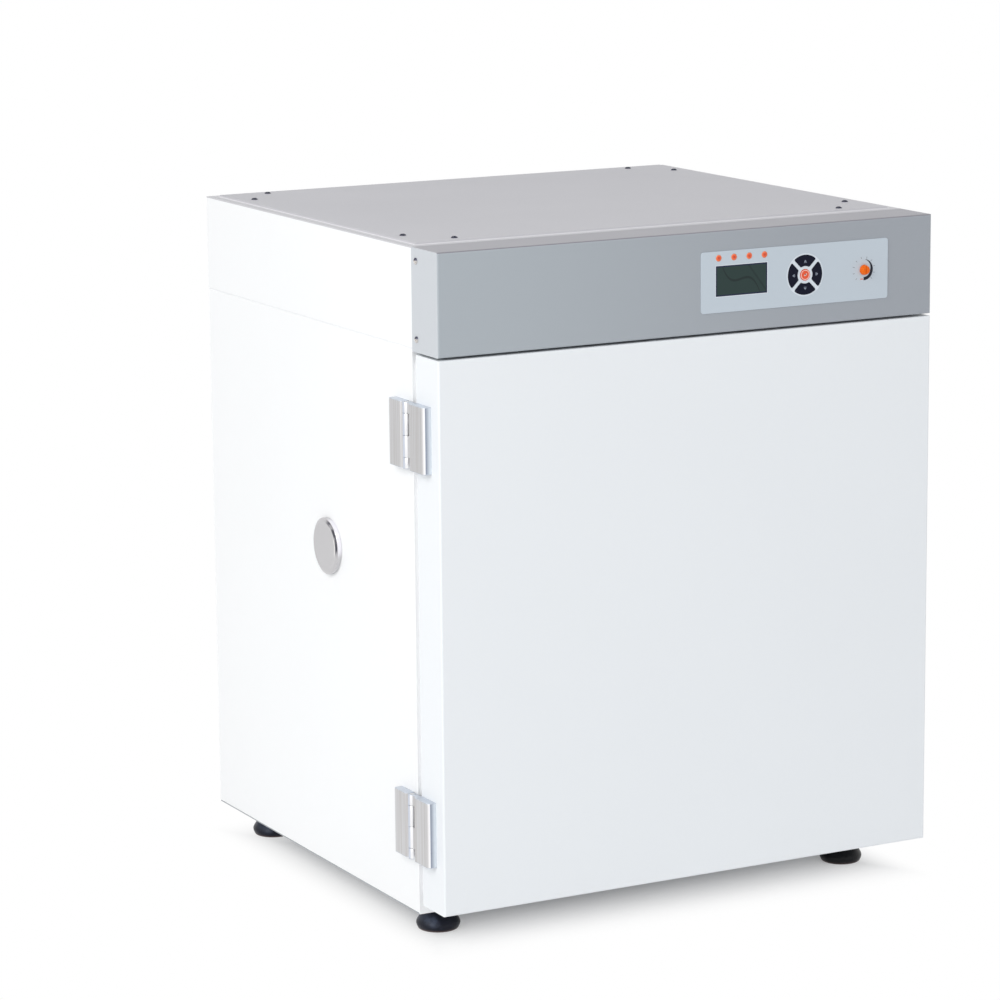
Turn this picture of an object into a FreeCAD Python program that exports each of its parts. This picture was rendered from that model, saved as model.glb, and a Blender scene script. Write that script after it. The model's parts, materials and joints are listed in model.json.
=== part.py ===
"""Laboratory incubator, 100 litre class, as a parametric FreeCAD document.

Row frame: millimetres, +X to the right seen from the front, +Y towards the back, +Z up.
The origin is on the floor, under the middle of the cabinet with its door.
The driving dimensions are the cells of the spreadsheet Sizes; every piece is bound to them.
"""
import FreeCAD, Part
import math
import os
import Sketcher
from types import SimpleNamespace

Vector, Rotation = FreeCAD.Vector, FreeCAD.Rotation

SIZES = {
    # cabinet
    "cabinet_width": 600.0, "cabinet_depth": 515.0, "cabinet_height": 710.0,
    "front_depth": 58.0, "foot_height": 32.5, "upper_height": 105.5,
    "sheet": 1.2, "flange": 14.0, "seam_inset": 0.8, "bend_radius": 2.0,
    "lid_rise": 2.0, "lid_border": 10.0, "lid_slope": 2.0,
    # fascia
    "fascia_height": 108.0, "fascia_gap": 2.6, "fascia_wall": 1.5, "tab_length": 20.0, "tab_height": 100.0,
    # chamber
    "side_wall": 75.0, "roof_wall": 53.5, "rear_wall": 51.0, "chamber_floor_rise": 51.0,
    "liner": 1.0, "rabbet_width": 12.0, "rabbet_depth": 14.0,
    "plenum_depth": 36.0, "channel_height": 12.0, "channel_width": 56.0, "channel_wall": 2.0,
    # outer door
    "door_rise": 12.0, "gasket_thickness": 8.0, "gasket_width": 16.0, "gasket_inset": 4.0,
    "gasket_corner": 10.0, "dish_depth": 12.0, "dish_side_margin": 10.0, "dish_end_margin": 5.0,
    "dish_corner": 16.0, "door_liner": 1.0,
    "pull_height": 150.0, "pull_width": 30.0, "pull_depth": 24.0, "pull_wall": 1.6,
    "pull_from_front": 9.0, "pull_lip": 4.0, "pull_corner": 8.0,
    # hinges of the outer door
    "end_knuckle": 11.7, "long_knuckle": 23.3, "hinge_spacing": 418.0,
    "leaf_thickness": 10.0, "leaf_bevel": 2.5, "leaf_relief": 2.2,
    "pin_from_side": 5.4, "pin_from_face": 3.5, "knuckle_radius": 4.6, "pin_radius": 2.5,
    "knuckle_gap": 0.3, "web_thickness": 6.7, "running_clearance": 0.05,
    "cabinet_leaf_start": 8.8, "cabinet_leaf_width": 29.0, "door_leaf_start": 10.0, "door_leaf_width": 31.0,
    # inner glass door
    "glass_inset": 3.5, "glass_thickness": 5.0, "glass_clearance": 2.5, "glass_pin_radius": 2.0,
    "seal_width": 4.0, "seal_gap": 0.3, "clamp_length": 24.0, "clamp_sheet": 1.5, "clamp_front": 1.4,
    "bracket_height": 8.0, "bracket_length": 14.0, "bracket_depth": 10.0, "bracket_overhang": 5.0,
    "bracket_floor": 2.0, "glass_knob_radius": 11.0, "glass_knob_height": 14.0, "glass_knob_stem": 5.5,
    "glass_knob_neck": 4.5, "glass_knob_round": 2.0, "glass_knob_from_edge": 30.0,
    # shelves
    "shelf_back_gap": 8.0, "shelf_clearance": 2.0, "shelf_rod": 3.0, "shelf_wire": 1.5, "shelf_wires": 15.0,
    "wire_seat": 0.6, "lower_shelf_rise": 150.0, "shelf_spacing": 235.0, "shelf_setback": 26.0,
    "runner_sheet": 1.5, "runner_ledge": 13.0, "runner_leg": 14.0,
    "upright_thickness": 3.0, "upright_width": 18.0, "upright_margin": 60.0, "upright_end": 12.0,
    "slot_width": 4.0, "slot_height": 10.0, "slot_pitch": 40.0, "rest_gap": 0.3,
    # air circulation
    "wheel_radius": 78.0, "wheel_depth": 20.0, "wheel_plate": 1.5,
    "blade_inner": 52.0, "blade_centre": 60.0, "blade_bend": 36.0,
    "blade_sheet": 1.2, "blade_margin": 1.5, "blades": 12.0, "shroud_inner": 58.0, "shroud_sheet": 1.2,
    "hub_radius": 11.0, "shaft_radius": 4.0, "motor_radius": 30.0, "motor_length": 34.0,
    "wheel_to_liner": 6.0, "heater_ring_radius": 100.0, "heater_rod": 3.5,
    "intake_radius": 62.0, "intake_hole": 4.0, "outlet_slot_width": 6.0, "outlet_slot_length": 40.0,
    "outlet_pitch": 56.0, "outlet_from_side": 32.0,
    "probe_radius": 3.0, "probe_length": 46.0, "probe_from_side": 112.5, "probe_from_roof": 83.0,
    # access port
    "port_from_face": 206.0, "port_rise": 361.0, "port_bore": 25.0, "port_tube_wall": 1.5,
    "port_flange_radius": 29.0, "port_flange_sheet": 1.2, "cap_radius": 31.0, "cap_height": 6.0,
    "cap_round": 3.0, "cap_plug_length": 14.0, "plug_clearance": 0.3, "stopper_gap": 11.0,
    "stopper_head": 6.0, "stopper_head_radius": 30.0, "port_block": 110.0,
    # levelling feet
    "foot_radius": 23.8, "foot_from_side": 44.0, "foot_from_face": 44.0, "foot_from_back": 51.0,
    "foot_sole_radius": 20.5, "foot_ring_height": 6.5, "foot_shoulder": 5.9, "foot_lean": 2.4,
    "foot_neck_radius": 11.0, "foot_neck_height": 2.1, "stud_radius": 5.0,
    "nut_radius": 10.0, "nut_height": 8.0,
    # control panel
    "overlay_width": 233.4, "overlay_height": 65.0, "overlay_from_right": 56.6, "overlay_sheet": 0.8,
    "overlay_corner": 3.0, "display_from_left": 18.0, "display_width": 63.5, "display_height": 32.5,
    "display_rise": 0.75, "lamp_from_left": 21.5, "lamp_pitch": 18.8, "lamp_rise": 25.3, "lamp_radius": 3.5,
    "keypad_from_left": 128.5, "keypad_inner": 9.6, "keypad_outer": 21.2, "keypad_gap": 4.4,
    "key_round": 1.4,
    "key_proud": 0.5, "key_travel": 0.6, "key_play": 0.15, "key_length": 6.0, "key_clearance": 0.25,
    "select_key_radius": 6.0, "knob_from_left": 203.0, "knob_radius": 5.6, "knob_height": 5.0,
    "knob_edge": 1.0, "knob_shaft_radius": 3.0, "knob_shaft_length": 12.0, "limiter_size": 22.0,
    "board_thickness": 1.6, "board_margin": 3.0, "board_to_limiter": 5.5, "switch_rise": 6.0,
    "switch_button_radius": 3.0, "pillar_radius": 3.0, "pillar_inset": 4.5, "module_rim": 1.6,
    # back of the upper housing
    "inlet_from_right": 90.0, "inlet_width": 31.0, "inlet_height": 24.0, "inlet_depth": 22.0,
    "inlet_flange": 2.5, "socket_width": 24.0, "socket_height": 16.0, "socket_depth": 17.0,
    "inlet_corner": 3.0, "contact_setback": 6.0, "contact_pitch": 7.0, "contact_drop": 1.0,
    "earth_rise": 3.0, "contact_width": 2.0, "contact_height": 4.0,
    "switch_from_right": 145.0, "switch_width": 15.0, "switch_height": 21.0,
    "switch_wall": 1.6, "switch_depth": 16.0, "rocker_tilt": 8.0, "rocker_clearance": 0.5,
    "rocker_pivot_depth": 2.5, "rocker_pin_radius": 1.25, "rocker_proud": 2.5, "rocker_dip": 0.6,
    "rocker_depth": 7.3, "rocker_tail": 1.6,
    "louvre_length": 60.0, "louvre_width": 5.0, "louvre_pitch": 12.0,
    # inside the upper housing
    "supply_width": 130.0, "supply_depth": 120.0, "supply_height": 42.0, "supply_from_right": 60.0,
    "strip_length": 60.0, "strip_width": 40.0, "strip_height": 22.0,
    # fasteners
    "screw_radius": 3.6, "screw_head": 1.9, "lid_screw_near": 27.0, "lid_screw_far": 64.0,
    "lid_screw_deep": 72.0, "fascia_screw_back": 10.5, "fascia_screw_edge": 13.5,
}

doc = FreeCAD.newDocument("laboratory_incubator")


class Size:
    """A number together with the spreadsheet formula that gives it."""

    def __init__(self, text, value):
        self.text, self.value = text, float(value)

    def __add__(self, other):
        return joined(self, "+", other, self.value + number(other))

    def __radd__(self, other):
        return joined(other, "+", self, number(other) + self.value)

    def __sub__(self, other):
        return joined(self, "-", other, self.value - number(other))

    def __rsub__(self, other):
        return joined(other, "-", self, number(other) - self.value)

    def __mul__(self, other):
        return joined(self, "*", other, self.value * number(other))

    def __rmul__(self, other):
        return joined(other, "*", self, number(other) * self.value)

    def __truediv__(self, other):
        return joined(self, "/", other, self.value / number(other))

    def __neg__(self):
        return joined(0, "-", self, -self.value)


def number(item):
    """The value of a Size, or the plain number itself."""
    return item.value if isinstance(item, Size) else float(item)


def text(item):
    """The formula of a Size, or the plain number written out."""
    return item.text if isinstance(item, Size) else f"{float(item):.9g}"


def joined(first, sign, second, value):
    return Size(f"({text(first)} {sign} {text(second)})", value)


def root(item):
    """The square root of a Size."""
    return Size(f"sqrt({item.text})", math.sqrt(item.value))


def fill_sheet():
    """Write each driving dimension into its own cell and give the cell its alias."""
    sheet = doc.addObject("Spreadsheet::Sheet", "Sizes")
    for row, (alias, value) in enumerate(SIZES.items(), 1):
        sheet.set(f"A{row}", alias)
        sheet.set(f"B{row}", str(value))
        sheet.setAlias(f"B{row}", alias)
    doc.recompute()
    return SimpleNamespace(**{alias: Size(f"Sizes.{alias}", value) for alias, value in SIZES.items()})


s = fill_sheet()

# ---------------------------------------------------------------- main planes
left, right = -s.cabinet_width / 2, s.cabinet_width / 2
front = -(s.cabinet_depth + s.front_depth) / 2
face = front + s.front_depth
back = face + s.cabinet_depth
base = s.foot_height
top = base + s.cabinet_height
deck = top - s.upper_height
deck_top = deck + s.sheet
fascia_bottom = top - s.fascia_height
door_bottom = base + s.door_rise
door_top = fascia_bottom - s.fascia_gap
door_back = face - s.gasket_thickness
door_middle = (door_bottom + door_top) / 2
chamber_left, chamber_right = left + s.side_wall, right - s.side_wall
chamber_floor, chamber_roof = base + s.chamber_floor_rise, deck - s.roof_wall
chamber_front, chamber_back = face + s.rabbet_depth, back - s.rear_wall
ledge_back = chamber_front + s.liner
plenum_front = chamber_back - s.plenum_depth
rabbet_left, rabbet_right = chamber_left - s.rabbet_width, chamber_right + s.rabbet_width
rabbet_bottom, rabbet_top = chamber_floor - s.rabbet_width, chamber_roof + s.rabbet_width
control_z = top - s.fascia_height / 2
overlay_right = right - s.overlay_from_right
overlay_left = overlay_right - s.overlay_width
overlay_front = front - s.overlay_sheet
port_y, port_z = face + s.port_from_face, base + s.port_rise
hinge_x, hinge_y = left - s.pin_from_side, face + s.pin_from_face

# ---------------------------------------------------------------- helpers
PIECES = []
SIDES = (("Length", "x"), ("Width", "y"), ("Height", "z"))
PLANES = {"XY": "XY_Plane", "XZ": "XZ_Plane", "YZ": "YZ_Plane"}
TURN_TO_X = Rotation(Vector(0, 1, 0), 90)
TURN_TO_Y = Rotation(Vector(1, 0, 0), -90)
TURN_TO_FRONT = Rotation(Vector(1, 0, 0), 90)
DIAGONAL = math.sqrt(0.5)
NEAR = 0.01
HEAD_SHAPE = ((1, 0.35), (0.72, 0.85), (0.4, 1))


def bind(item, path, value):
    """Bind one property of an object to the formula of a Size."""
    item.setExpression(path, text(value))


def place(item, x=0, y=0, z=0, turn=None):
    """Bind an object's place, turned first if it lies along another axis."""
    item.Placement = FreeCAD.Placement(Vector(number(x), number(y), number(z)), turn or Rotation())
    for axis, value in zip("xyz", (x, y, z)):
        bind(item, f"Placement.Base.{axis}", value)
    return item


def piece(label, item):
    """Name a finished sub-part; its label is the name of its file."""
    item.Label = label
    PIECES.append(item)
    return item


def block(name, x, y, z):
    """A box between two planes on each axis."""
    box = doc.addObject("Part::Box", name)
    for (side, axis), (low, high) in zip(SIDES, (x, y, z)):
        bind(box, side, high - low)
    return place(box, x[0], y[0], z[0])


def rod(name, radius, start, length, turn=None):
    """A cylinder from a start point along Z, or along X or Y when turned."""
    cylinder = doc.addObject("Part::Cylinder", name)
    bind(cylinder, "Radius", radius)
    bind(cylinder, "Height", length)
    return place(cylinder, *start, turn=turn)


def fuse(name, *items):
    if len(items) == 1:
        return items[0]
    whole = doc.addObject("Part::MultiFuse", name)
    whole.Shapes = list(items)
    whole.Refine = True
    return whole


def cut(name, item, *tools):
    rest = doc.addObject("Part::Cut", name)
    rest.Base = item
    rest.Tool = fuse(f"{name}_tools", *tools)
    rest.Refine = True
    return rest


def group(name, items):
    """Separate solids that share one node."""
    whole = doc.addObject("Part::Compound", name)
    whole.Links = list(items)
    return whole


def body(name):
    return doc.addObject("PartDesign::Body", name)


def sketch(holder, plane, height=0):
    """A sketch on one of the body's own origin planes, moved along its normal."""
    drawing = holder.newObject("Sketcher::SketchObject", f"{holder.Name}_sketch")
    role = PLANES[plane]
    origin_plane = [item for item in holder.Origin.OriginFeatures if item.Role == role][0]
    drawing.AttachmentSupport = [(origin_plane, "")]
    drawing.MapMode = "FlatFace"
    if plane == "XZ":
        height = -height
    bind(drawing, "AttachmentOffset.Base.z", height)
    return drawing


def pin_point(drawing, curve, end, x, y):
    """Hold one point of a curve at two bound distances from the sketch's origin."""
    for kind, value in (("DistanceX", x), ("DistanceY", y)):
        index = drawing.addConstraint(Sketcher.Constraint(kind, -1, 1, curve, end, number(value)))
        if isinstance(value, Size):
            bind(drawing, f"Constraints[{index}]", value)


def draw_outline(drawing, points):
    """Draw a closed outline. A point is (x, y) or (x, y, radius, centre, turn), where the last three
    make the stretch that ends at it an arc: turn is +1 for an anticlockwise one."""
    curves = []
    for index, point in enumerate(points):
        before = points[index - 1]
        start = Vector(number(before[0]), number(before[1]), 0)
        end = Vector(number(point[0]), number(point[1]), 0)
        if len(point) == 2:
            curves.append((drawing.addGeometry(Part.LineSegment(start, end), False), 1, 2, point))
            continue
        radius, centre, turn = point[2:]
        middle = Vector(number(centre[0]), number(centre[1]), 0)
        angles = [math.atan2(spot.y - middle.y, spot.x - middle.x) for spot in (start, end)]
        if turn < 0:
            angles.reverse()
        circle = Part.Circle(middle, Vector(0, 0, 1), number(radius))
        arc = drawing.addGeometry(Part.ArcOfCircle(circle, *angles), False)
        curves.append((arc, 1, 2, point) if turn > 0 else (arc, 2, 1, point))
        index_radius = drawing.addConstraint(Sketcher.Constraint("Radius", arc, number(radius)))
        bind(drawing, f"Constraints[{index_radius}]", radius)
    for (curve, _, end, point), (following, begin, _, _) in zip(curves, curves[1:] + curves[:1]):
        drawing.addConstraint(Sketcher.Constraint("Coincident", curve, end, following, begin))
        pin_point(drawing, curve, end, point[0], point[1])


def draw_circle(drawing, x, y, radius):
    shape = Part.Circle(Vector(number(x), number(y), 0), Vector(0, 0, 1), number(radius))
    circle = drawing.addGeometry(shape, False)
    index = drawing.addConstraint(Sketcher.Constraint("Radius", circle, number(radius)))
    bind(drawing, f"Constraints[{index}]", radius)
    pin_point(drawing, circle, 3, x, y)


def rectangle(x, y):
    return [(x[0], y[0]), (x[1], y[0]), (x[1], y[1]), (x[0], y[1])]


def rounded(x, y, radius):
    """A rectangle with round corners."""
    (x0, x1), (y0, y1), r = x, y, radius
    return [(x1 - r, y0), (x1, y0 + r, r, (x1 - r, y0 + r), 1), (x1, y1 - r),
            (x1 - r, y1, r, (x1 - r, y1 - r), 1), (x0 + r, y1), (x0, y1 - r, r, (x0 + r, y1 - r), 1),
            (x0, y0 + r), (x0 + r, y0, r, (x0 + r, y0 + r), 1)]


def extrude(holder, kind, plane, start, end, outlines=(), circles=()):
    """Pad or Pocket the outlines between two planes across the sketch plane."""
    drawing = sketch(holder, plane, start)
    for outline in outlines:
        draw_outline(drawing, outline)
    for circle in circles:
        draw_circle(drawing, *circle)
    feature = holder.newObject(f"PartDesign::{kind}", f"{holder.Name}_{kind.lower()}")
    feature.Profile = drawing
    bind(feature, "Length", end - start)
    against_normal = plane == "XZ"
    feature.Reversed = against_normal if kind == "Pad" else not against_normal
    feature.Refine = True
    return feature


def prism(name, plane, start, end, outlines=(), circles=()):
    holder = body(name)
    extrude(holder, "Pad", plane, start, end, outlines, circles)
    return holder


def turned(name, profile):
    """A body of revolution about its own Z axis, from a closed (radius, height) outline."""
    holder = body(name)
    drawing = sketch(holder, "XZ")
    draw_outline(drawing, profile)
    revolution = holder.newObject("PartDesign::Revolution", f"{name}_revolution")
    revolution.Profile = drawing
    revolution.ReferenceAxis = (drawing, ["V_Axis"])
    revolution.Angle = 360
    return holder


def edges_where(item, test):
    """Names of the edges whose middle point and direction pass a test."""
    doc.recompute()
    names = []
    for index, edge in enumerate(item.Shape.Edges, 1):
        middle = edge.valueAt((edge.FirstParameter + edge.LastParameter) / 2)
        ends = edge.Vertexes[-1].Point - edge.Vertexes[0].Point
        if test(middle, ends):
            names.append(f"Edge{index}")
    return names


def soften(holder, kind, size, test):
    """Fillet or Chamfer the edges of a body's tip that pass the test."""
    names = edges_where(holder.Tip, test)
    sharp = holder.Tip
    feature = holder.newObject(f"PartDesign::{kind}", f"{holder.Name}_{kind.lower()}")
    feature.Base = (sharp, names)
    bind(feature, "Radius" if kind == "Fillet" else "Size", size)
    return feature


def pan(name, x, y, z, hollow_x, hollow_y, hollow_z):
    """Folded sheet: a block less the hollow that leaves its walls and flanges."""
    return cut(name, block(f"{name}_outside", x, y, z), block(f"{name}_inside", hollow_x, hollow_y, hollow_z))


def mirrored(x, side):
    """A pair of planes, or the same pair on the other side of the cabinet."""
    return x if side == "left" else (-x[1], -x[0])


# ---------------------------------------------------------------- lower shell
def lower_shell():
    for side in ("left", "right"):
        name = f"lower_{side}_panel"
        shell = pan(f"{name}_sheet",
                    mirrored((left, left + s.flange), side), (face + s.sheet, back - s.sheet),
                    (base + s.sheet, deck),
                    mirrored((left + s.sheet, left + 2 * s.flange), side),
                    (face + 2 * s.sheet, back - 2 * s.sheet), (base + 2 * s.sheet, deck - s.sheet))
        if side == "left":
            hole = rod("port_hole", s.port_bore + s.port_tube_wall, (left - s.sheet, port_y, port_z),
                       2 * s.flange, TURN_TO_X)
            shell = cut(f"{name}_drilled", shell, hole)
        piece(name, shell)
    piece("lower_back_panel", block("lower_back_panel", (left, right), (back - s.sheet, back), (base, deck)))
    floor = prism("base_pan", "XY", base, base + s.sheet,
                  [rectangle((left, right), (face + s.sheet, back - s.sheet))],
                  [(x, y, s.stud_radius + s.plug_clearance) for x, y in foot_places()])
    piece("base_pan", floor)
    channels = []
    for side in ("left", "right"):
        centre = s.foot_from_side
        x = mirrored((left + centre - s.channel_width / 2, left + centre + s.channel_width / 2), side)
        inner = (x[0] + s.channel_wall, x[1] - s.channel_wall)
        y = (ledge_back, back - 2 * s.sheet)
        channels.append(pan(f"base_channel_{side}", x, y, (base + s.sheet, base + s.sheet + s.channel_height),
                            inner, y, (base + s.sheet, base + s.sheet + s.channel_height - s.channel_wall)))
    piece("base_channels", group("base_channels", channels))
    nuts = []
    for index, (x, y) in enumerate(foot_places()):
        nut = prism(f"foot_nut_{index}", "XY", 0, s.nut_height,
                    [[(s.nut_radius * math.cos(math.radians(60 * k)),
                       s.nut_radius * math.sin(math.radians(60 * k)))
                      for k in range(6)]],
                    [(0, 0, s.stud_radius + s.running_clearance)])
        nuts.append(place(nut, x, y, base + s.sheet))
    piece("foot_nuts", group("foot_nuts", nuts))


def foot_places():
    near, far = face + s.foot_from_face, back - s.foot_from_back
    outer = left + s.foot_from_side
    return [(outer, near), (-outer, near), (outer, far), (-outer, far)]


def front_frame():
    """Front sheet round the chamber, with flanges turned back that form the glass door's rabbet."""
    inner_x, inner_z = (rabbet_left, rabbet_right), (rabbet_bottom, rabbet_top)
    outer_x = (inner_x[0] - s.sheet, inner_x[1] + s.sheet)
    outer_z = (inner_z[0] - s.sheet, inner_z[1] + s.sheet)
    plate = block("front_plate", (left, right), (face, face + s.sheet), (base, deck))
    collar = block("front_collar", outer_x, (face, chamber_front), outer_z)
    opening = block("front_opening", inner_x, (face - s.sheet, chamber_front + s.sheet), inner_z)
    pins = [rod(f"glass_pin_hole_{end}", s.glass_pin_radius + s.running_clearance * 4,
                (glass_axis_x, glass_axis_y, z - 2 * s.sheet), 4 * s.sheet)
            for end, z in (("low", rabbet_bottom), ("high", rabbet_top))]
    piece("front_frame", cut("front_frame", fuse("front_sheet", plate, collar), opening, *pins))


glass_x = (rabbet_left + s.glass_clearance, rabbet_right - s.glass_clearance)
glass_z = (rabbet_bottom + s.glass_clearance, rabbet_top - s.glass_clearance)
glass_y = (face + s.glass_inset, face + s.glass_inset + s.glass_thickness)
glass_axis_x, glass_axis_y = glass_x[0] + s.glass_clearance, (glass_y[0] + glass_y[1]) / 2


# ---------------------------------------------------------------- chamber
def chamber():
    wall = s.liner
    outside = block("liner_outside", (chamber_left - wall, chamber_right + wall),
                    (chamber_front, chamber_back + wall), (chamber_floor - wall, chamber_roof + wall))
    lip = s.rabbet_width + s.sheet
    flange = block("liner_flange", (chamber_left - lip, chamber_right + lip), (chamber_front, ledge_back),
                   (chamber_floor - lip, chamber_roof + lip))
    hollow = block("liner_hollow", (chamber_left, chamber_right), (chamber_front - wall, chamber_back),
                   (chamber_floor, chamber_roof))
    port = rod("liner_port_hole", s.port_bore + s.port_tube_wall, (chamber_left - 2 * wall, port_y, port_z),
               4 * wall, TURN_TO_X)
    shaft = rod("liner_shaft_hole", s.shaft_radius * 2, (0, chamber_back - wall, fan_z), 4 * wall, TURN_TO_Y)
    piece("chamber_liner", cut("chamber_liner", fuse("liner_sheet", outside, flange), hollow, port, shaft))

    slab_y, slab_z = (ledge_back, back - 2 * s.sheet), (base + s.sheet + s.channel_height, deck - s.sheet)
    inner_left, inner_right = chamber_left - wall, chamber_right + wall
    left_x, half = (left + s.sheet, inner_left), s.port_block / 2
    near_port, beside_port = (port_y - half, port_y + half), (port_z - half, port_z + half)
    batts = [block("batt_under_port", left_x, slab_y, (slab_z[0], beside_port[0])),
             block("batt_over_port", left_x, slab_y, (beside_port[1], slab_z[1])),
             block("batt_before_port", left_x, (slab_y[0], near_port[0]), beside_port),
             block("batt_behind_port", left_x, (near_port[1], slab_y[1]), beside_port)]
    port_block = cut("insulation_round_port", block("insulation_port_block", left_x, near_port, beside_port),
                     rod("insulation_port_hole", s.port_bore + s.port_tube_wall, (left, port_y, port_z),
                         s.side_wall, TURN_TO_X))
    right_slab = block("insulation_right", (inner_right, right - s.sheet), slab_y, slab_z)
    floor_slab = block("insulation_floor", (inner_left, inner_right), (ledge_back, chamber_back + wall),
                       (slab_z[0], chamber_floor - wall))
    roof_slab = block("insulation_roof", (inner_left, inner_right), (ledge_back, chamber_back + wall),
                      (chamber_roof + wall, slab_z[1]))
    back_slab = cut("insulation_back",
                    block("insulation_back_slab", (inner_left, inner_right),
                          (chamber_back + wall, slab_y[1]), slab_z),
                    rod("insulation_motor_hole", s.motor_radius, (0, chamber_back, fan_z), s.rear_wall,
                        TURN_TO_Y))
    piece("wall_insulation", group("wall_insulation",
                                   [port_block, *batts, right_slab, floor_slab, roof_slab, back_slab]))


fan_z = (chamber_floor + chamber_roof) / 2


def blade_outline():
    """A backward-curved blade. Both faces are arcs about one centre on the X axis, c from the wheel's axis;
    an arc of radius r about it meets a circle of radius R about the wheel's axis
    at x = (R^2 + c^2 - r^2) / (2 c), y = sqrt(R^2 - x^2)."""
    offset, bend = s.blade_centre, s.blade_bend
    corners = []
    for radius in (bend, bend + s.blade_sheet):
        for reach in (s.blade_inner, s.wheel_radius - s.blade_margin):
            x = (reach * reach + offset * offset - radius * radius) / (2 * offset)
            corners.append((x, root(reach * reach - x * x)))
    inner, tip, inner_back, tip_back = corners
    centre = (offset, 0)
    return [inner, (*tip, bend, centre, -1), tip_back, (*inner_back, bend + s.blade_sheet, centre, 1)]


def air_circulation():
    """Duct plate, motor, wheel, heater ring and temperature probe at the back of the chamber."""
    x = (chamber_left + s.rest_gap, chamber_right - s.rest_gap)
    z = (chamber_floor + s.rest_gap, chamber_roof - s.rest_gap)
    plate = body("duct_front")
    extrude(plate, "Pad", "XZ", plenum_front, plenum_front + s.liner, [rectangle(x, z)])
    holes = [(0, fan_z, s.intake_hole)]
    for ring in (1, 2, 3):
        for step in range(6 * ring):
            angle = 2 * math.pi * step / (6 * ring)
            reach = s.intake_radius * ring / 3
            holes.append((reach * math.cos(angle), fan_z + reach * math.sin(angle), s.intake_hole))
    slots = []
    half = s.outlet_slot_length / 2
    for side in (-1, 1):
        for step in range(-3, 4):
            x0 = side * (chamber_right - s.outlet_from_side)
            z0 = fan_z + s.outlet_pitch * step
            slots.append(rectangle((x0 - s.outlet_slot_width / 2, x0 + s.outlet_slot_width / 2),
                                   (z0 - half, z0 + half)))
    probe_x, probe_z = chamber_right - s.probe_from_side, chamber_roof - s.probe_from_roof
    holes.append((probe_x, probe_z, s.probe_radius + s.key_play))
    extrude(plate, "Pocket", "XZ", plenum_front, plenum_front + s.liner, slots, holes)
    sides = [block(f"duct_side_{side}", mirrored((x[0], x[0] + s.liner), side),
                   (plenum_front + s.liner, chamber_back), z) for side in ("left", "right")]
    piece("duct_plate", fuse("duct_sheet", plate, *sides))

    piece("temperature_probe", rod("probe_sheath", s.probe_radius,
                                   (probe_x, plenum_front - s.probe_length, probe_z),
                                   s.plenum_depth + s.probe_length, TURN_TO_Y))

    motor_front = chamber_back + s.liner
    motor = cut("fan_motor",
                fuse("motor_body",
                     rod("motor_can", s.motor_radius - s.rest_gap, (0, motor_front, fan_z), s.motor_length,
                         TURN_TO_Y),
                     rod("motor_boss", s.hub_radius, (0, motor_front + s.motor_length, fan_z),
                         back - s.sheet - motor_front - s.motor_length, TURN_TO_Y)),
                rod("motor_bore", s.shaft_radius + s.running_clearance, (0, motor_front - s.liner, fan_z),
                    s.motor_length, TURN_TO_Y))
    piece("fan_motor", motor)

    wheel = body("fan_wheel")
    near, far = -s.wheel_depth, -s.wheel_plate
    extrude(wheel, "Pad", "XZ", far, 0 * far, circles=[(0, 0, s.wheel_radius)])
    extrude(wheel, "Pad", "XZ", near, far, circles=[(0, 0, s.hub_radius)])
    blade = extrude(wheel, "Pad", "XZ", near, far, [blade_outline()])
    blades = wheel.newObject("PartDesign::PolarPattern", "fan_blades")
    blades.Originals = [blade]
    blades.Axis = (wheel.Group[0], ["N_Axis"])
    blades.Angle = 360
    blades.Occurrences = int(SIZES["blades"])
    wheel.Tip = blades
    extrude(wheel, "Pad", "XZ", near - s.shroud_sheet, near,
            circles=[(0, 0, s.wheel_radius), (0, 0, s.shroud_inner)])
    extrude(wheel, "Pad", "XZ", 0 * far, s.wheel_to_liner + s.liner + s.motor_length / 2,
            circles=[(0, 0, s.shaft_radius)])
    wheel_back = chamber_back - s.wheel_to_liner
    piece("fan_wheel", place(wheel, 0, wheel_back, fan_z))

    ring = doc.addObject("Part::Torus", "heater_loop")
    bind(ring, "Radius1", s.heater_ring_radius)
    bind(ring, "Radius2", s.heater_rod)
    ring_y = chamber_back - s.plenum_depth / 2
    place(ring, 0, ring_y, fan_z, TURN_TO_Y)
    legs = [rod(f"heater_leg_{side}", s.heater_rod, (side * s.heater_ring_radius, ring_y, fan_z),
                s.plenum_depth / 2, TURN_TO_Y) for side in (-1, 1)]
    piece("heater_ring", fuse("heater", ring, *legs))


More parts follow.
